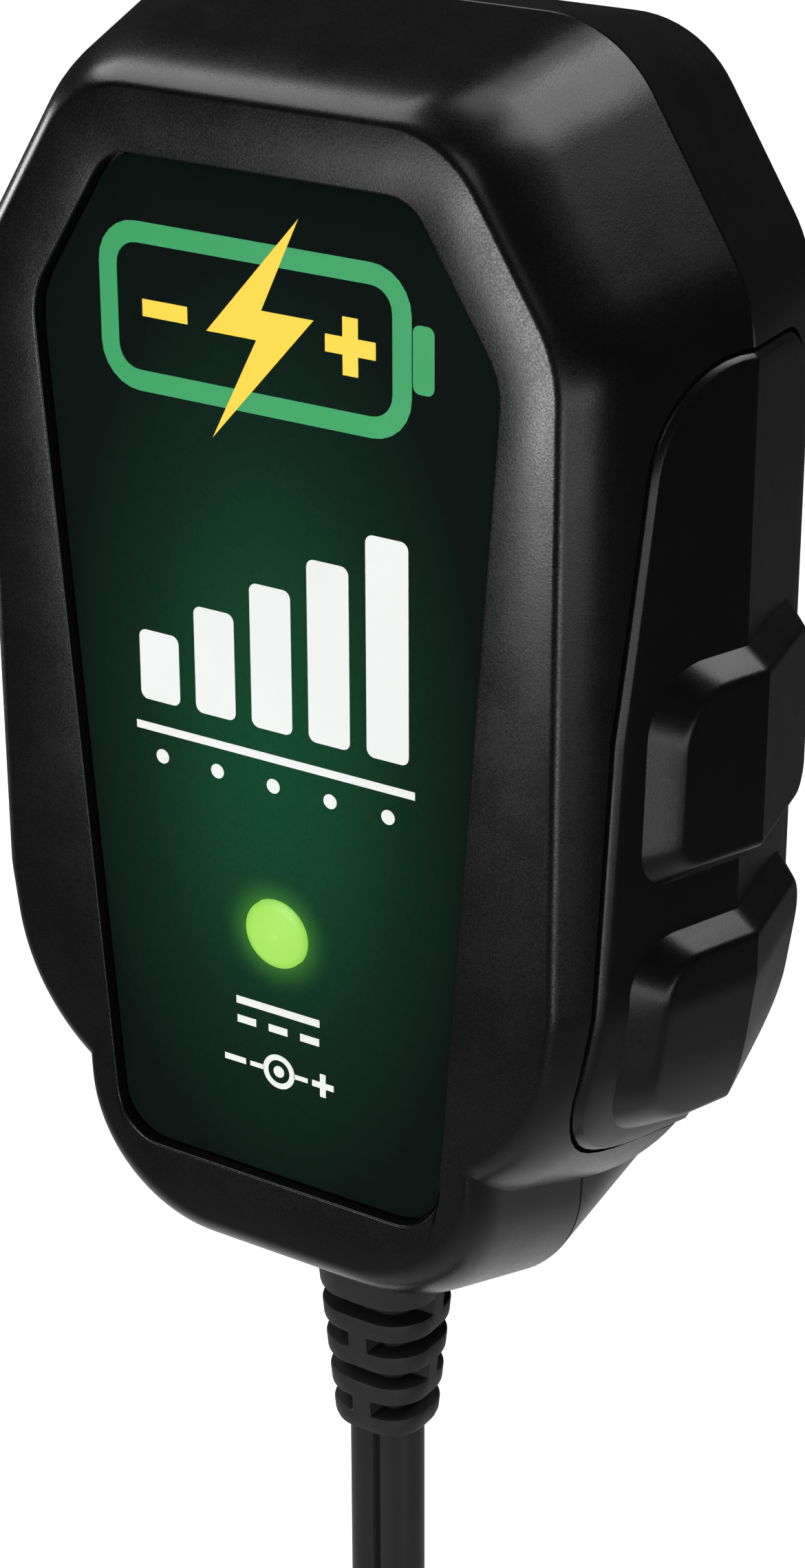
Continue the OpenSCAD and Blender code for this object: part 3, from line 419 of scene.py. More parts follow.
def within(outline, points):
    """Which points lie in a convex outline that runs counter-clockwise."""
    a, b = outline, np.roll(outline, -1, axis=0)
    d = b - a
    side = d[:, 0] * (points[:, None, 1] - a[:, 1]) - d[:, 1] * (points[:, None, 0] - a[:, 0])
    return (side >= -1e-9).all(axis=1)


CHIN_STEPS, MAIN_STEPS = 44, 124


def shell_half(q, h):
    """The right half of the housing's outline at a depth: the chin's, then the main form's."""
    main, chin = main_half(q, h), resample(chin_half(q, h), 500)
    body = whole(main)
    first = int(np.argmax(within(body, chin)))
    low, high = chin[first - 1], chin[first]
    for _ in range(24):  # halves the stretch in which the chin meets the main form
        middle = (low + high) / 2
        if within(body, middle[None])[0]:
            high = middle
        else:
            low = middle
    eye_z = 5  # inside the outline, so that the angle round it only grows along the half
    turn = np.arctan2(main[:, 1] - eye_z, main[:, 0])
    after = main[turn > atan2(high[1] - eye_z, high[0]) + 1e-5]
    lower = resample(np.vstack([chin[:first], high]), CHIN_STEPS)
    upper = resample(np.vstack([high, after]), MAIN_STEPS)
    return np.vstack([lower, upper[1:]])


def at_depth(outline, q):
    """An outline round the lamp, as a ring of the part at a depth."""
    return [(x, q - HOUSING_D, z - LAMP_DROP) for x, z in outline]


def shell_ring(q, h=0.0):
    """A ring of the housing at a depth, moved out by h."""
    return at_depth(whole(shell_half(q, h)), q)


# ---- Grips ----
# They are made in (depth, height above the lamp, height above the housing) and then laid on its side.
# A corner is (depth, height above the lamp, radius).

GRIP_REAR_Q, BLOCK_REAR_Q = FRONT_D + 12.3, FRONT_D + 11.7
GRIP_CORNERS = [(1.8, -13.5, 7.4), (GRIP_REAR_Q - 1, -12, 6), (GRIP_REAR_Q, 38.4, 5), (6.4, 41.1, 7),
                (3.3, 18, 14)]
UPPER_BLOCK = [(5, 7.4, 2.6), (BLOCK_REAR_Q, 6.7, 2.6), (BLOCK_REAR_Q, 21.4, 3.4), (5.4, 22, 4.4)]
LOWER_BLOCK = [(4.4, -11.4, 5.5), (BLOCK_REAR_Q - 0.6, -11.4, 6), (BLOCK_REAR_Q, 3.5, 2.6),
               (4.4, 4.2, 3.6)]
# The rounding of the grip's edge: (way in, drop below its top).
GRIP_EDGE = [(0, 0.36), (0.02, 0.30), (0.06, 0.25), (0.26, 0.05), (0.31, 0.02), (0.38, 0)]


def side_outline(corners, arc=10, straight=14):
    """Each corner's arc and the straight stretch after it, always with the same number of points."""
    arcs = []
    n = len(corners)
    for i in range(n):
        a, p, b = (np.array(corners[j % n][:2], float) for j in (i - 1, i, i + 1))
        r = corners[i][2]
        u, v = unit(a - p), unit(b - p)
        half = acos(np.dot(u, v)) / 2
        c = p + unit(u + v) * r / sin(half)
        s, e = p + u * r / tan(half) - c, p + v * r / tan(half) - c
        way = 1 if s[0] * e[1] - s[1] * e[0] > 0 else -1
        t0, turn = atan2(s[1], s[0]), pi - 2 * half
        bend = [t0 + way * turn * k / arc for k in range(arc + 1)]
        arcs.append([c + r * np.array((cos(t), sin(t))) for t in bend])
    points = []
    for i in range(n):
        points += arcs[i]
        start, end = arcs[i][-1], arcs[(i + 1) % n][0]
        points += [start + (end - start) * k / straight for k in range(1, straight)]
    return np.array(points)


def drawn_in(corners, d):
    """Corners of a block's outline moved in by d."""
    middle = (corners[0][1] + corners[2][1]) / 2
    return [(q + (d if q < FRONT_D else -d), z + (d if z < middle else -d), max(r - d / 2, 0.6))
            for q, z, r in corners]


def inset(points, d):
    """A convex outline moved in by d."""
    before, after = np.roll(points, 1, axis=0), np.roll(points, -1, axis=0)
    way = after - before
    normal = np.column_stack([-way[:, 1], way[:, 0]])
    normal /= np.linalg.norm(normal, axis=1)[:, None]
    centre = points.mean(axis=0)
    normal *= np.sign(((centre - points) * normal).sum(axis=1))[:, None]
    return points + normal * d


def lifted(points, h):
    """An outline at a height above the housing."""
    return np.column_stack([points, np.full(len(points), h)])


def towards_middle(ring, steps):
    """Rings that close a flat side, from a ring to its middle."""
    centre = ring.mean(axis=0)
    return [centre + (ring - centre) * (1 - k / steps) ** 0.9 for k in range(1, steps)] + [
        centre + (ring - centre) * 0.02]


def side_x(q, z, h):
    """Half the width of the housing's main form."""
    half = main_half(q, h)[1:]
    return float(np.interp(z, half[:, 1], half[:, 0]))


def on_side(parts, mirror):
    """Lays (depth, height, lift) solids on the housing's right side, or on its left."""
    laid = []
    for points, faces in parts:
        work = bmesh.new()
        made = [work.verts.new(tuple(p)) for p in points]
        for f in faces:
            work.faces.new([made[i] for i in f])
        bmesh.ops.bisect_plane(work, geom=list(work.verts) + list(work.edges) + list(work.faces),
                               plane_co=(FRONT_D, 0, 0), plane_no=(1, 0, 0), dist=1e-5)
        work.verts.index_update()
        side = -1 if mirror else 1
        placed = [(side * side_x(v.co[0], v.co[1], v.co[2]), v.co[0] - HOUSING_D, v.co[1] - LAMP_DROP)
                  for v in work.verts]
        laid.append((placed, [[v.index for v in f.verts] for f in work.faces]))
        work.free()
    return laid


def panel_solid():
    """The grip's thin panel."""
    edge = side_outline(GRIP_CORNERS)
    low = lifted(edge, GRIP_PROUD - GRIP_T)
    rings = towards_middle(low, 14)[::-1] + [low]
    rings += [lifted(inset(edge, d), GRIP_PROUD - drop) for d, drop in GRIP_EDGE]
    return loft(rings + towards_middle(rings[-1], 24))


def block_solid(corners):
    """A finger block: a sloping rim and a flat top, with a small rounding between them."""
    def ring(d, h):
        return lifted(side_outline(drawn_in(corners, d), 12, 12), h)
    base, top = GRIP_PROUD - 0.2, BLOCK_PROUD
    slope = (top - base) / BLOCK_SLOPE
    start, end = 0.22, 0.3  # how far before and after the corner the rounding begins and ends
    rings = [ring(0, base), ring(0.5 * BLOCK_SLOPE, base + 0.5 * BLOCK_SLOPE * slope)]
    for k in range(6):
        t = k / 5
        before, after = (1 - t) ** 2, t ** 2
        rings.append(ring(before * (BLOCK_SLOPE - start) + 2 * t * (1 - t) * BLOCK_SLOPE
                          + after * (BLOCK_SLOPE + end),
                          before * (top - start * slope) + (1 - before) * top))
    low = ring(0, base)
    floor = towards_middle(low, 6)[::-1]
    return loft(floor + rings + towards_middle(rings[-1], 18))


def seat_solid():
    """What the grip's seat takes out of the shells."""
    edge = side_outline([(q + copysign(GRIP_GAP, q - FRONT_D), z + copysign(GRIP_GAP, z - 10),
                          r + GRIP_GAP) for q, z, r in GRIP_CORNERS])
    low, high = lifted(edge, GRIP_PROUD - GRIP_T - FIT_GAP), lifted(edge, 4)
    return loft(towards_middle(low, 14)[::-1] + [low, high] + towards_middle(high, 14))


def make_grip(mirror):
    name = "side_grip_left" if mirror else "side_grip_right"
    parts = [panel_solid(), block_solid(UPPER_BLOCK), block_solid(LOWER_BLOCK)]
    keep(solid(name + "_skin", on_side(parts, mirror)), GRIP, name, angle=22, slot="grip_rubber")


# ---- Shells ----

# Screw bosses at (x, z). Their depths say where each starts, the front one's where it ends.
BOSSES = [(14, 20), (-14, 20), (15.4, -33), (-15.4, -33)]
BOSS_R, BOSS_WIDE_R, PILOT_R, SHANK_R, HEAD_R = 3.3, 4.2, 1.75, 1.8, 3
FRONT_BOSS_Q, PILOT_Q, REAR_BOSS_Q, BOSS_WIDE_Q, HEAD_Q = 9, 4.5, 10.6, 16, 18
BLADE_X, SLOT_W, SLOT_H = 6.35, 1.8, 6.65
PLATE_W, PLATE_H, PLATE_R, PLATE_T, PLATE_Z = 27, 25, 2, 0.35, -25
SEAM = 0.12
LABEL_LIP = 0.14


def front_depths():
    """Depths of the front shell's rings, close together round its front edge."""
    return [EDGE_D * (1 - cos(radians(90 * k / 18))) for k in range(1, 19)] + [
        EDGE_D + (FRONT_D - SEAM - EDGE_D) * k / 8 for k in range(1, 9)]


def rear_depths():
    """Depths of the rear shell's rings, close together round its rear edge."""
    straight = HOUSING_D - REAR_EDGE_D
    return [FRONT_D + SEAM + (straight - FRONT_D - SEAM) * k / 9 for k in range(10)] + [
        HOUSING_D - REAR_EDGE_D * (1 - cos(radians(90 * k / 12))) for k in range(11, -1, -1)]


def relief_hole():
    """The hole in the chin's floor for the strain relief's neck."""
    w, t = RELIEF_W - 1 + 2 * FIT_GAP, RELIEF_T - 1 + 2 * FIT_GAP
    return loft([level_box(0, EXIT_Y, w, t, 2.85, z) for z in (CHIN_FLOOR_Z + WALL + 2, CHIN_FLOOR_Z - 2)])


def finish_shell(piece, node):
    """Cuts the grips' seats and the relief's hole."""
    for mirror in (False, True):
        cut(piece, *on_side([seat_solid()], mirror))
    cut(piece, relief_hole())
    keep(piece, CASE, node, slot="case_plastic")


def make_front():
    n = CHIN_STEPS + MAIN_STEPS
    recess_q = LABEL_SUNK + LABEL_T

    def label_ring(grow, q):
        return at_depth(whole(resample(label_half(-grow), n)), q)

    rings = [label_ring(0, recess_q), label_ring(0, LABEL_LIP)]
    for k in range(1, 6):
        t = radians(18 * k)
        rings.append(label_ring(LABEL_LIP * (1 - cos(t)), LABEL_LIP * (1 - sin(t))))
    rings.append(shell_ring(0))
    rings += [shell_ring(q) for q in front_depths()]
    rings.append(shell_ring(FRONT_D, -SEAM))
    piece = solid("front_case", [loft(rings)])
    inside = solid("inside", [loft([shell_ring(q, -WALL) for q in (FRONT_WALL, EDGE_D + 1, FRONT_D)]
                                   + [at_depth(whole(shell_half(FRONT_D, -WALL)), FRONT_D + 1)])])
    for x, z in BOSSES:
        cut(inside, round_bar(x, z, BOSS_R, 0, FRONT_BOSS_Q))
    combine(piece, inside, "DIFFERENCE")
    holes = [round_bar(x, z, PILOT_R, PILOT_Q, FRONT_D + 1, 32) for x, z in BOSSES]
    holes.append(round_bar(0, -LAMP_DROP, LENS_HOLE_R, 0.5, FRONT_WALL + 1))
    cut(piece, *holes)
    finish_shell(piece, "front_housing")


def make_rear():
    rings = [shell_ring(FRONT_D, -SEAM)] + [shell_ring(q) for q in rear_depths()]
    piece = solid("rear_case", [loft(rings)])
    outline = whole(shell_half(FRONT_D, -WALL))
    inside = solid("inside", [loft([at_depth(outline, FRONT_D - 1), shell_ring(FRONT_D, -WALL)]
                                   + [shell_ring(q, -WALL) for q in (20, HOUSING_D - WALL)])])
    for x, z in BOSSES:
        cut(inside, round_bar(x, z, BOSS_R, REAR_BOSS_Q, HOUSING_D),
            round_bar(x, z, BOSS_WIDE_R, BOSS_WIDE_Q, HOUSING_D + 1))
    combine(piece, inside, "DIFFERENCE")
    cut(piece, *[round_bar(x, z, SHANK_R, FRONT_BOSS_Q, HOUSING_D + 1, 32) for x, z in BOSSES])
    cut(piece, *[round_bar(x, z, HEAD_R, HEAD_Q, HOUSING_D + 1) for x, z in BOSSES])
    slots = [block((x - SLOT_W / 2, -WALL - 1, -SLOT_H / 2), (x + SLOT_W / 2, 1, SLOT_H / 2))
             for x in (-BLADE_X, BLADE_X)]
    plate = rounded_box(0, PLATE_Z, PLATE_W, PLATE_H, PLATE_R, 8)
    cut(piece, *slots, loft([[(x, y, z) for x, z in plate] for y in (-PLATE_T, 1)]))
    finish_shell(piece, "rear_housing")


make_front()
make_rear()
make_grip(False)
make_grip(True)


# ---- Label ----

# The print stands this high on the label and reaches this far into it.
INK_Q, INK_SUNK = LABEL_SUNK - 0.02, 0.04
# The label's green patch, in metres: half its width and height, and how far below z = 0 it lies.
GLOW_W, GLOW_H, GLOW_DROP = 0.0165, 0.0335, 0.0135
# The lamp's shine on the label: from and to this distance in metres, its fall-off and its strength.
HALO_IN, HALO_OUT, HALO_POWER, HALO_LIGHT = 0.0024, 0.0046, 2.2, 0.18


def label_material():
    """A dark film with a green patch, fine grain, and the lamp's shine round the hole."""
    t = Nodes("label_film")
    x, z, from_lamp = t.from_lamp()
    far = t.length(t.maths("DIVIDE", x, GLOW_W), t.maths("DIVIDE", t.maths("ADD", z, GLOW_DROP), GLOW_H))
    glow = t.ramp(far, [(0.0, srgb(19, 66, 42)), (0.3, srgb(18, 58, 37)), (0.62, srgb(14, 38, 27)),
                        (0.97, srgb(11, 19, 17))])
    speckle = t.noise(5200, 2, 0.6)
    grain = t.ramp(speckle, [(0.3, grey(0.9)), (0.7, grey(1.1))])
    film = t.add("ShaderNodeMix", {"Factor": 1, "A": glow, "B": grain}, data_type="RGBA",
                 blend_type="MULTIPLY").outputs["Result"]
    halo = t.maths("POWER", t.spread(from_lamp, HALO_IN, HALO_OUT, 1, 0), HALO_POWER)
    return t.look({"Base Color": film, "Emission Color": srgb(120, 215, 70),
                   "Emission Strength": t.maths("MULTIPLY", halo, HALO_LIGHT), "Roughness": 0.6,
                   "Specular IOR Level": 0.01, "Normal": t.bump(speckle, 0.002 * MM)})


def make_label():
    """The label sheet: rings from its outer edge, over its front, to the lens hole."""
    steps = 240
    outline = whole(resample(label_half(LABEL_GAP), 400))
    turn = np.unwrap(np.arctan2(outline[:, 1], outline[:, 0]))
    order = np.argsort(turn)
    turn, outline = turn[order], outline[order]
    turn = np.concatenate([turn - 2 * pi, turn, turn + 2 * pi])
    outline = np.vstack([outline] * 3)
    at = np.linspace(0, 2 * pi, steps, endpoint=False)
    edge = np.column_stack([np.interp(at, turn, outline[:, i]) for i in range(2)])
    hole = LABEL_HOLE_R * np.column_stack([np.cos(at), np.sin(at)])
    back, front, bevel = LABEL_SUNK + LABEL_T, LABEL_SUNK, 0.06
    rings = [at_depth(edge, back), at_depth(edge, front + bevel), at_depth(edge * (1 - bevel / 20), front),
             at_depth(hole + (edge - hole) * 0.4, front), at_depth(hole * 1.02, front),
             at_depth(hole, front + bevel), at_depth(hole, back)]
    sheet = solid("label_sheet", [loft(rings, joined=True)])
    keep(sheet, label_material(), "front_label", slot="label_film")


def stroke(points, width, closed=False, lift=0.0):
    """A printed line along points."""
    points = np.asarray(points, float)
    n = len(points)
    rings = []
    for i in range(n):
        before = points[i - 1] if closed or i else points[i]
        after = points[(i + 1) % n] if closed or i < n - 1 else points[i]
        a, b = points[i] - before, after - points[i]
        a = unit(a) if a.any() else unit(b)
        b = unit(b) if b.any() else a
        way = unit(a + b)
        side = np.array((-way[1], way[0])) * width / 2 / max(0.3, float(np.dot(way, a)))
        left, right = points[i] + side, points[i] - side
        rings.append(at_depth((left, right), INK_Q - lift) + at_depth((right, left), INK_Q + INK_SUNK))
    return loft(rings, joined=closed)


def patch(points, lift=0.0):
    """A printed filled shape."""
    return loft([at_depth(points, q) for q in (INK_Q - lift, INK_Q + INK_SUNK)])


def plus(x, z, size, width):
    return [stroke([(x - size / 2, z), (x + size / 2, z)], width),
            stroke([(x, z - size / 2), (x, z + size / 2)], width, lift=0.002)]


def minus(x, z, size, width):
    return [stroke([(x - size / 2, z), (x + size / 2, z)], width)]


def ink(name, colour):
    return moulded(name, colour, 0.5, grain=6000, depth=0.001, specular=0.2, wear=0.03)


def print_piece(name, material, parts):
    keep(solid(name, parts), material, slot="label_film")


def make_print():
    """Generic marks: a battery with a flash and two poles, a gauge, direct current and polarity."""
    green, yellow = ink("ink_green", srgb(46, 150, 88)), ink("ink_yellow", srgb(240, 203, 62))
    white = ink("ink_white", srgb(220, 223, 221))
    case_z = 40.4
    print_piece("print_battery", green, [
        stroke(rounded_box(-0.9, case_z, 21.5, 9.4, 2.2), 1.35, closed=True),
        patch(rounded_box(11.35, case_z, 1.5, 4.2, 0.5))])
    bolt = [(2.6, 47.6), (-4.3, 39.7), (-0.6, 39.7), (-4.0, 33.0), (3.6, 41.6), (-0.2, 41.6)]
    print_piece("print_bolt", yellow, [patch(bolt, 0.006)] + plus(6.2, case_z, 3.6, 1.1)
                + minus(-7.4, case_z, 3.4, 1.1))
    bars = []
    for i in range(5):
        x, tall = -8.7 + 4.35 * i, 4.8 + 2.45 * i
        bars.append(patch(rounded_box(x, 14.3 + tall / 2, 3.1, tall, 0.55)))
        bars.append(patch(circle(x, 10.5, 0.5)))
    bars.append(stroke([(-10.7, 12.4), (10.7, 12.4)], 0.55))
    print_piece("print_gauge", white, bars)
    marks = [stroke([(-3.3, -5.6), (3.3, -5.6)], 0.55)]
    marks += [stroke([(x - 0.75, -7.0), (x + 0.75, -7.0)], 0.55) for x in (-2.5, 0, 2.5)]
    low = -10.1  # the polarity sign's height
    marks += [stroke(circle(0, low, 1.05), 0.4, closed=True), patch(circle(0, low, 0.42))]
    marks += [stroke([(s * 1.2, low), (s * 2.3, low)], 0.35) for s in (-1, 1)]
    marks += plus(3.5, low, 1.7, 0.45) + minus(-3.5, low, 1.7, 0.45)
    print_piece("print_marks", white, marks)


make_label()
make_print()


# ---- Strain relief ----

RELIEF_R = 3.5
# The columns of a straight side spread by REACH, or less to keep the outermost on it.
REACH_X, REACH_Y, REACH = 0.84, 0.86, 1.14
SLOT_PITCH, SLOT_TALL, SLOT_DEEP = 2.8, 1.25, 1.5


def relief_columns():
    """Columns round the sleeve: (arc or side, quadrant, angle or place, whether a web may hold it)."""
    columns = []
    webs = (0.0, 0.4, 0.66, 0.84)
    for quadrant in range(4):
        for k in range(1, 10):
            columns.append(("arc", quadrant, radians(90 * quadrant + 10 * k), 0))
        side = "y" if quadrant in (0, 2) else "x"
        for s in [-v for v in webs[:0:-1]] + list(webs):
            columns.append((side, quadrant, s, 1 if abs(s) < 0.7 else 0))
    return columns


def relief_ring(z, slot, inward):
    """A ring of the strain relief. slot is 0 outside the slots, else 1 or 2 for where its webs are."""
    u = min(max((RELIEF_TOP_Z - z) / RELIEF_L, 0), 1)
    k = 1 - RELIEF_TAPER * u
    hx, hy = (RELIEF_W / 2 - RELIEF_R) * k, (RELIEF_T / 2 - RELIEF_R) * k
    ring = []
    for kind, quadrant, value, web in relief_columns():
        held = web and ((slot == 1 and kind == "y") or (slot == 2 and kind == "x"))
        r = RELIEF_R * k - (0 if held else inward)
        if kind == "arc":
            sx, sy = CORNERS[quadrant]
            ring.append((sx * hx + r * cos(value), EXIT_Y + sy * hy + r * sin(value), z))
        elif kind == "y":
            sy = 1 if quadrant == 0 else -1
            ring.append((-sy * value * min(REACH, hx / REACH_X), EXIT_Y + sy * (hy + r), z))
        else:
            sx = -1 if quadrant == 1 else 1
            ring.append((sx * (hx + r), EXIT_Y + sx * value * min(REACH, hy / REACH_Y), z))
    return ring


def make_relief():
    """The tapered sleeve with four rows of slots, its neck, and the flange inside the chin."""
    stops = [(RELIEF_TOP_Z, 0, 0.25), (RELIEF_TOP_Z - 0.25, 0, 0)]
    for i in (4, 3, 2, 1):
        middle = RELIEF_END_Z + 2.5 + (i - 1) * SLOT_PITCH
        webs = 2 if i % 2 == 0 else 1
        # Half a slot, from its rounded edge to its floor: (way out from the edge, webs, way in).
        lip = [(0.22, 0, 0), (0.06, webs, 0.05), (0, webs, 0.2), (-0.02, webs, SLOT_DEEP)]
        stops += [(middle + SLOT_TALL / 2 + out, held, inward) for out, held, inward in lip]
        stops += [(middle - SLOT_TALL / 2 - out, held, inward) for out, held, inward in lip[::-1]]
    stops += [(RELIEF_END_Z + 0.8, 0, 0), (RELIEF_END_Z + 0.35, 0, 0.15), (RELIEF_END_Z + 0.1, 0, 0.45),
              (RELIEF_END_Z, 0, 0.9)]
    body = loft([relief_ring(z, slot, inward) for z, slot, inward in stops])
    neck_w, neck_t, seat = RELIEF_W - 1, RELIEF_T - 1, CHIN_FLOOR_Z + WALL + 1.9
    neck = loft([level_box(0, EXIT_Y, neck_w, neck_t, 2.6, z) for z in (seat + 0.01, RELIEF_TOP_Z - 0.01)])
    flange = loft([level_box(0, EXIT_Y, RELIEF_W + 2.6 - 2 * d, RELIEF_T + 1.4 - 2 * d, 2.6 - d, seat + z)
                   for z, d in ((2.2, 0.3), (1.9, 0), (0.3, 0), (0, 0.3))])
    keep(solid("relief_sleeve", [body, neck, flange]), RELIEF_SKIN, "strain_relief", slot="relief_vinyl")


make_relief()


# ---- Cord ----

COIL_R, COIL_START, COIL_Z = 38.5, 35, -156
COIL_TURNS = 9 + (90 - COIL_START) / 360
COIL_PITCH, COIL_LAYER = CORD_T + TURN_GAP, CORD_W + TURN_GAP
COIL_IN_R = COIL_R - COIL_PITCH * (COIL_TURNS / 2 + 0.25)
RUN_OUT = CORD_W
TAIL_DROP = 24
# The flat cord lies across at the relief and starts to turn on edge at this height.
TURN_Z = -86


def coil_point(u):
    """The cord's middle after u turns: inwards in the rear layer, then outwards in the front one."""
    v = abs(u - COIL_TURNS / 2)
    reach = COIL_IN_R + COIL_PITCH * max(0, min(2 * v - 0.5, v + 0.25))
    t = min(max(2 * u - COIL_TURNS + 0.5, 0), 1)
    a = radians(COIL_START + 360 * u)
    y = EXIT_Y - COIL_LAYER * t * t * (3 - 2 * t)
    return np.array((reach * sin(a), y, COIL_Z + reach * cos(a)))


def coil_way(u):
    """The way the cord runs after u turns."""
    a = radians(COIL_START + 360 * u)
    return np.array((cos(a), 0, -sin(a)))


def cord_route():
    """Points along the cord, and how far it is turned at each, in degrees."""
    coil_in = coil_point(0) - RUN_OUT * coil_way(0)
    coil_out = coil_point(COIL_TURNS) + RUN_OUT * coil_way(COIL_TURNS)
    s, c = sin(radians(COIL_START)), cos(radians(COIL_START))
    arc_r = (COIL_R * s - 2 * RUN_OUT * c) / (1 - s)
    arc_z = coil_in[2] + RUN_OUT * s + arc_r * c
    free = [np.array((0, EXIT_Y, RELIEF_END_Z + (arc_z - RELIEF_END_Z) * k / 12)) for k in range(12)]
    sweep = [radians((90 - COIL_START) * k / 20) for k in range(21)]
    free += [np.array((arc_r * (1 - cos(a)), EXIT_Y, arc_z - arc_r * sin(a))) for a in sweep]
    run = along(free)
    start, end = RELIEF_END_Z - TURN_Z, run[-1]
    turns = [90 * min(max((r - start) / (end - start), 0), 1) for r in run]
    steps = 400
    wound = [coil_in] + [coil_point(COIL_TURNS * i / steps) for i in range(steps + 1)] + [coil_out]
    tail = [coil_out + np.array((0, 0, -TAIL_DROP)) * k / 4 for k in range(1, 5)]
    points = free + wound + tail
    return np.array(points), turns + [90] * (len(points) - len(turns))


def cord_profile():
    """(across, thick) round a flat twin cord with a narrow groove along the middle of each face."""
    lobe, r = (CORD_W - CORD_T) / 2, CORD_T / 2
    groove = [(0.42, 0.0), (0.3, 0.1), (0.2, 0.45), (0.0, 0.62)]
    upper = [(lobe + r * cos(radians(a)), r * sin(radians(a))) for a in range(0, 91, 10)]
    upper += [(x, r - d) for x, d in groove]
    upper += [(-x, y) for x, y in upper[-2::-1]]
    return upper + [(-x, -y) for x, y in upper[1:-1]]


def make_cord():
    """The lead from the relief to the connector, in one run, and its line in metres."""
    points, turns = cord_route()
    profile = cord_profile()
    rings = []
    up = np.array((0.0, 1.0, 0.0))
    for i, p in enumerate(points):
        way = unit(points[min(i + 1, len(points) - 1)] - points[max(i - 1, 0)])
        side = unit(np.cross(up, way))
        t = radians(turns[i])
        across = unit(cos(t) * side + sin(t) * (up - np.dot(up, way) * way))
        thick = np.cross(across, way)
        rings.append([p + a * across + b * thick for a, b in profile])
    cord = keep(solid("cord_run", [loft(rings)]), CORD_SKIN, "output_cord", "cord_coil", "cord_tail",
                angle=50, slot="cord_vinyl")
    return cord, points * MM


def make_tie():
    """A strap round the coil's turns, with its end lapped over."""
    slack, thick, wide, lap_lift = 0.7, 1.1, 6, 0.35
    in_r, out_r = COIL_IN_R - CORD_T / 2 - slack, COIL_R + CORD_T / 2 + slack
    rear, front = EXIT_Y + CORD_W / 2 + RUN_GAP, EXIT_Y - COIL_LAYER - CORD_W / 2 - RUN_GAP
    cy, cr = (rear + front) / 2, (in_r + out_r) / 2
    a = radians(50)  # where on the coil it sits

    def spot(x, y, v):
        """A point by its place along the coil, its depth and its way out from the strap's middle."""
        return (x * cos(a) + (cr + v) * sin(a), y, COIL_Z + (cr + v) * cos(a) - x * sin(a))

    def loop(extra, r, x):
        outline = rounded_box(0, 0, rear - front + 2 * extra, out_r - in_r + 2 * extra, r, 7)
        return [spot(x, cy + u, v) for u, v in outline]

    half = wide / 2
    side = [(0, 0.5, half), (thick - 0.25, 1.2, half), (thick, 1.45, half - 0.25)]
    band = loft([loop(*of) for of in side] + [loop(extra, r, -x) for extra, r, x in side[::-1]], joined=True)
    lap_low, lap_high, w = -4.0, 5.0, half - 0.15
    placed = []
    for v, lift in ((lap_low, -0.2), (lap_low + 0.3, 0.32), (lap_high - 0.3, 0.32), (lap_high, -0.2)):
        placed.append([spot(x, front - thick - h * lap_lift, v)
                       for x, h in ((-w, -0.3), (w, -0.3), (w, lift), (-w, lift))])
    t = Nodes("tie_strap")
    colour = srgb(22, 22, 23)
    weave = t.add("ShaderNodeTexWave", {"Scale": 900, "Distortion": 1.5, "Vector": t.place},
                  wave_type="BANDS", bands_direction="DIAGONAL").outputs["Fac"]
    fuzz = t.maths("ADD", weave, t.noise(3000, 3))
    strap = t.look({"Base Color": t.ramp(weave, [(0, scaled(colour, 0.6)), (1, scaled(colour, 1.5))]),
                    "Normal": t.bump(fuzz, 0.06 * MM), "Roughness": 0.85, "Sheen Weight": 0.3})
    return keep(solid("tie_band", [band, loft(placed)]), strap, "cord_tie", slot="tie_strap")


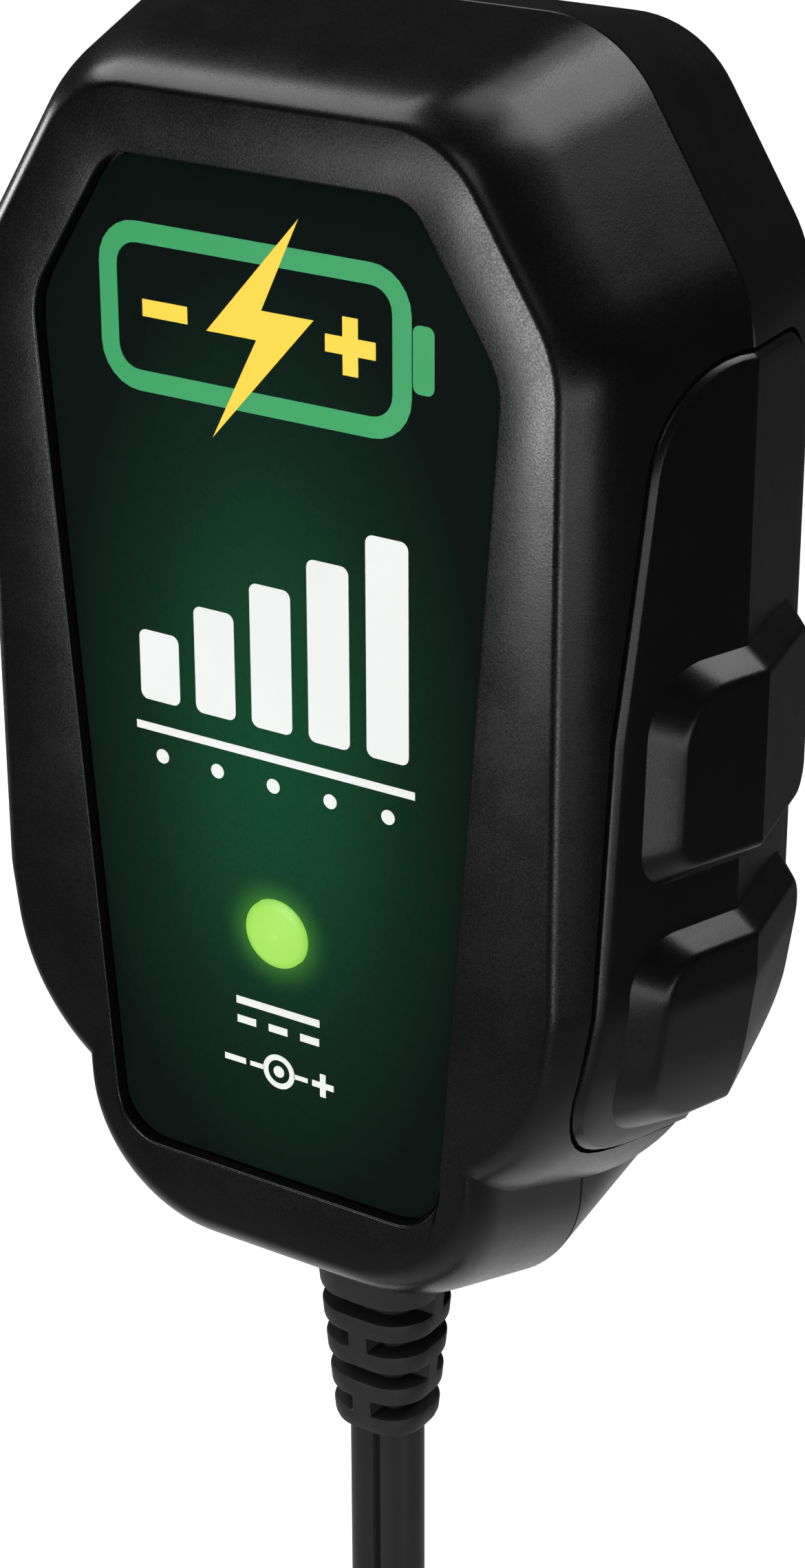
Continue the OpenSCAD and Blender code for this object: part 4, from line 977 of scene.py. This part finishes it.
def make_connector(end):
    """The two-pole moulded connector: a collar, a ribbed body, and the walls round its contacts."""
    x0, y0, z0 = end
    pole_pitch, pin_d, socket_d, pole_l = 9, 3.96, 4.06, 9.5
    w, t, body_l, collar_l = pole_pitch + 7.2, 8, 19, 7
    pole_z = z0 - collar_l - body_l
    pin_x, socket_x = x0 + pole_pitch / 2, x0 - pole_pitch / 2

    def ring(width, deep, r, drop):
        return level_box(x0, y0, width, deep, r, z0 - drop)

    def groove(outer, inner, d, tall, ease):
        """A groove's rings from d down, between two (width, depth, radius)."""
        return [ring(*outer, d), ring(*inner, d + ease), ring(*inner, d + tall - ease),
                ring(*outer, d + tall)]

    rings = [ring(6.2, 6.6, 2.1, 0), ring(6.8, 7.1, 2.4, 0.3)]
    for k in range(1, 4):  # the collar's grooves
        d = 2.1 * k - 0.5
        wide, deep = 6.8 + 1.6 * d / collar_l, 7.1 - 0.5 * d / collar_l
        rings += groove((wide, deep, 2.4), (wide - 1, 6.1, 2), d, 1, 0.15)
    rings.append(ring(8.4, 6.6, 2.4, collar_l))
    for k in range(1, 7):  # the shoulder that widens to the body
        u = k / 6
        s = u * u * (3 - 2 * u)
        rings.append(ring(8.4 + (w - 8.4) * s, 6.6 + (t - 6.6) * s, 2.4 + 0.6 * s, collar_l + 3 * u))
    for k in range(4):  # the body's grooves
        rings += groove((w, t, 3), (w - 0.7, t - 0.7, 2.65), collar_l + 5.2 + 2.4 * k, 1.2, 0.2)
    rings += [ring(w, t, 3, collar_l + body_l - 1), ring(w - 0.5, t - 0.5, 2.8, collar_l + body_l - 0.35),
              ring(w - 1.4, t - 1.4, 2.6, collar_l + body_l)]

    def barrel(x, r, low):
        return upright(x, y0, ((r, pole_z + 2), (r, low + 0.4), (r - 0.4, low)))

    def bore(x, r, low, high):
        return upright(x, y0, ((r, low), (r, high)))

    piece = solid("connector_body", [loft(rings)])
    socket_end, root = pole_z - pole_l - 1, pole_z - 1.2
    combine(piece, solid("barrel", [barrel(socket_x, 3.6, socket_end)]), "UNION")
    combine(piece, solid("collar", [barrel(pin_x, pin_d / 2 + 1.5, root)]), "UNION")
    cut(piece, bore(socket_x, socket_d / 2 + 0.5 + FIT_GAP, pole_z - pole_l - RUN_GAP, pole_z + RUN_GAP))
    cut(piece, bore(socket_x, socket_d / 2 + 0.4, socket_end - 1, pole_z - 1))
    cut(piece, bore(pin_x, pin_d / 2 - 0.1, pole_z - 2, pole_z + 6.3))
    return keep(piece, CONNECTOR_SKIN, "connector_shell", slot="connector_vinyl")


cord, cord_line = make_cord()
tie = make_tie()
connector = make_connector(cord_line[-1] / MM)


# ---- Pieces that keep their CAD shape ----

def lamp_material():
    """A lit green lens, a little darker at its rim."""
    t = Nodes("lamp_plastic")
    from_lamp = t.from_lamp()[2]
    light = t.ramp(t.spread(from_lamp, 0, 0.0026), [(0, srgb(184, 246, 108)), (0.75, srgb(178, 240, 102)),
                                                    (1, srgb(140, 214, 80))])
    base = t.ramp(t.noise(1500), [(0.3, srgb(38, 66, 22)), (0.7, srgb(44, 74, 26))])
    return t.look({"Base Color": base, "Emission Color": light, "Emission Strength": 0.85,
                   "Roughness": 0.35, "Specular IOR Level": 0.1,
                   "Normal": t.bump(t.noise(2500), 0.004 * MM)})


def metal(name, colour, rough, streaks=(1, 0.06, 1)):
    """A metal with fine streaks along the axis whose share is small."""
    return moulded(name, colour, rough, grain=4200, depth=0.003, metal=1.0, wear=0.08, streaks=streaks)


FINISHES = {"lamp_lens": lamp_material()}
for finish, nodes in [
        (metal("blade_brass", srgb(214, 196, 150), 0.28), ["line_blade", "neutral_blade"]),
        (metal("screw_steel", srgb(190, 190, 188), 0.35, (1, 1, 1)), ["housing_screws"]),
        (metal("sink_aluminium", srgb(205, 207, 209), 0.34, (1, 1, 0.06)),
         ["transistor_heat_sink", "rectifier_heat_sink"]),
        (metal("contact_metal", srgb(216, 206, 172), 0.24, (1, 1, 0.06)),
         ["connector_pin", "connector_socket"]),
        (moulded("part_black", srgb(34, 34, 35), 0.55),
         ["bridge_rectifier", "transformer_bobbin", "switch_transistor", "controller_chip",
          "output_rectifier"])]:
    FINISHES.update(dict.fromkeys(nodes, finish))
# The rest: node, material, colour, roughness, and what differs from plain moulded plastic.
PLASTICS = [
    ("status_led", "led_epoxy", (150, 220, 140), 0.2, {"depth": 0.001}),
    ("rating_plate", "plate_film", (44, 44, 46), 0.42, {"grain": 7000, "depth": 0.004}),
    ("blade_carrier", "carrier_plastic", (224, 214, 190), 0.5, {}),
    ("circuit_board", "board_laminate", (28, 96, 48), 0.4, {"grain": 2500, "depth": 0.01}),
    ("fuse", "fuse_ceramic", (226, 226, 218), 0.35, {}),
    ("varistor", "part_blue", (46, 92, 170), 0.35, {}),
    ("filter_capacitor", "part_yellow", (226, 192, 62), 0.38, {}),
    ("filter_choke", "choke_wire", (190, 112, 60), 0.3,
     {"grain": 1800, "depth": 0.05, "streaks": (1, 0.2, 1)}),
    ("bulk_capacitor", "can_sleeve", (22, 26, 46), 0.3, {"depth": 0.003}),
    ("transformer_core", "ferrite", (58, 58, 60), 0.6, {"grain": 2200, "depth": 0.02}),
    ("transformer_winding", "winding_tape", (226, 196, 70), 0.3,
     {"grain": 900, "depth": 0.02, "streaks": (0.3, 1, 1)}),
    ("bridging_capacitor", "part_blue_disc", (60, 118, 190), 0.35, {}),
    ("output_capacitors", "can_sleeve_dark", (30, 24, 44), 0.3, {"depth": 0.003}),
    ("optocoupler", "part_white", (232, 232, 228), 0.45, {}),
    ("resistors", "resistor_film", (120, 160, 190), 0.4, {}),
    ("line_lead", "lead_black", (28, 28, 28), 0.4, {}),
    ("neutral_lead", "lead_white", (228, 228, 224), 0.4, {}),
    ("positive_lead", "lead_red", (176, 28, 22), 0.4, {}),
    ("negative_lead", "lead_black_output", (28, 28, 28), 0.4, {}),
]
for node, name, colour, rough, other in PLASTICS:
    FINISHES[node] = moulded(name, srgb(*colour), rough, **other)
for node, finish in FINISHES.items():
    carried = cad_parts[node]
    if not carried.material_slots:
        carried.data.materials.append(None)
    for place in carried.material_slots:
        place.material = finish


# ---- Studio ----

# The cove, in metres: its radius, the bend's radius, its height, and the gap below the part.
COVE_R, COVE_BEND, COVE_TOP, COVE_GAP, COVE_STEPS = 3, 0.5, 0.96, 0.0005, 128
COVE_DARK, COVE_PALE_LOW, COVE_PALE_HIGH = 0.05, 0.62, 0.66
# Its own light, as the view and as gloss see it: near and far distance in metres, light at each.
VIEW_LIGHT, PAINTED_POOL_LIGHT = (0.25, 1.0, 0.32, 0.97), (0.2, 0.42, 1, 0.02)
WORLD_GREY = 0.03


def make_floor():
    """A pale cove: a floor that curves up into a low round wall."""
    t = Nodes("cove")
    rays = t.add("ShaderNodeLightPath").outputs
    away = t.add("ShaderNodeVectorMath", {0: t.place}, operation="LENGTH").outputs["Value"]
    # The floor that the view sees takes the lamps' light and the object's shadow. It throws little of
    # that light back at the black plastic.
    pale = t.ramp(t.noise(6, 2), [(0.3, grey(COVE_PALE_LOW)), (0.7, grey(COVE_PALE_HIGH))])
    paint = t.add("ShaderNodeMix", {"Factor": rays["Is Camera Ray"], "A": grey(COVE_DARK), "B": pale},
                  data_type="RGBA").outputs["Result"]
    # The view shows white, a little less near the object so that its shadow stays. Reflections show
    # the cove too, with a painted pool of light that is brightest under the object.
    view = t.maths("MULTIPLY", t.maths("MAXIMUM", rays["Is Camera Ray"], rays["Is Transmission Ray"]),
                   t.spread(away, *VIEW_LIGHT))
    # Glossy rays see a painted pool of light, brightest under the object and fading away from it.
    painted_pool = t.maths("MULTIPLY", rays["Is Glossy Ray"], t.spread(away, *PAINTED_POOL_LIGHT))
    light = t.maths("MAXIMUM", view, painted_pool)
    t.look({"Base Color": paint, "Emission Color": grey(1), "Emission Strength": light,
            "Roughness": 0.9, "Specular IOR Level": 0.1})
    bend = [radians(7.5 * k) for k in range(13)]
    profile = [(COVE_R - COVE_BEND + COVE_BEND * sin(a), COVE_BEND * (1 - cos(a))) for a in bend]
    profile.append((COVE_R, COVE_TOP))
    level, n = cad_box[0][2] - COVE_GAP, COVE_STEPS
    points = [(x, y, level + h) for r, h in profile for x, y in circle(0, 0, r, n)]
    # The wall's faces run this way round so that their smooth normals point inwards and up.
    faces = [tuple(range(n))] + [
        (k * n + i, (k + 1) * n + i, (k + 1) * n + (i + 1) % n, k * n + (i + 1) % n)
        for k in range(len(profile) - 1) for i in range(n)]
    mesh = bpy.data.meshes.new("cove")
    mesh.from_pydata(points, [], faces)
    mesh.shade_smooth()
    mesh.materials.append(t.material)
    cove = show("cove", mesh)


def make_world():
    world = bpy.data.worlds.new("studio")
    scene.world = world
    world.use_nodes = True
    inputs = world.node_tree.nodes["Background"].inputs
    inputs["Color"].default_value, inputs["Strength"].default_value = grey(WORLD_GREY), 1


# Each softbox: its place, what it faces, width, height, watts, and what it lights.
SOFTBOXES = [
    ((0.30, -0.69, 0.50), (0, -0.015, -0.02), 0.35, 0.35, 1.3),  # the front, as the key
    ((-0.085, -0.25, -0.050), (0.015, -0.029, -0.005), 0.04, 0.04, 0.37),  # the bezel's highlight
    ((0.32, 0.36, 0.58), (0.02, -0.02, 0.01), 0.5, 0.38, 5.6),  # the right shoulder
    ((-0.50, -0.10, 0.63), (0, -0.02, 0.02), 0.62, 0.52, 8),  # the top's rounding
    ((-0.50, 0.03, -0.05), (-0.02, -0.02, 0.01), 0.2, 0.2, 1.3),  # the left rim
    ((0.44, -0.30, -0.12), (0.02, -0.025, -0.02), 0.55, 0.12, 1.3),  # the right side
    ((0.24, -0.385, -0.19), (0.026, -0.02, -0.01), 0.06, 0.1, 0.4),  # the grip's front edge
    ((0.05, 0.24, 0.70), (0, 0, -0.02), 0.3, 0.3, 1.2),  # the top from behind
]


def make_lights():
    """Softboxes that the view does not show."""
    for i, (place, aim, w, h, watts) in enumerate(SOFTBOXES):
        data = bpy.data.lights.new(f"softbox_{i}", "AREA")
        data.shape, data.size, data.size_y, data.energy = "RECTANGLE", w, h, watts
        lamp = show(f"softbox_{i}", data)
        lamp.location = place
        lamp.rotation_mode = "QUATERNION"
        lamp.rotation_quaternion = (Vector(place) - Vector(aim)).to_track_quat("Z", "Y")
        lamp.visible_camera = False


make_floor()
make_world()
make_lights()
scene.view_settings.view_transform = "Standard"
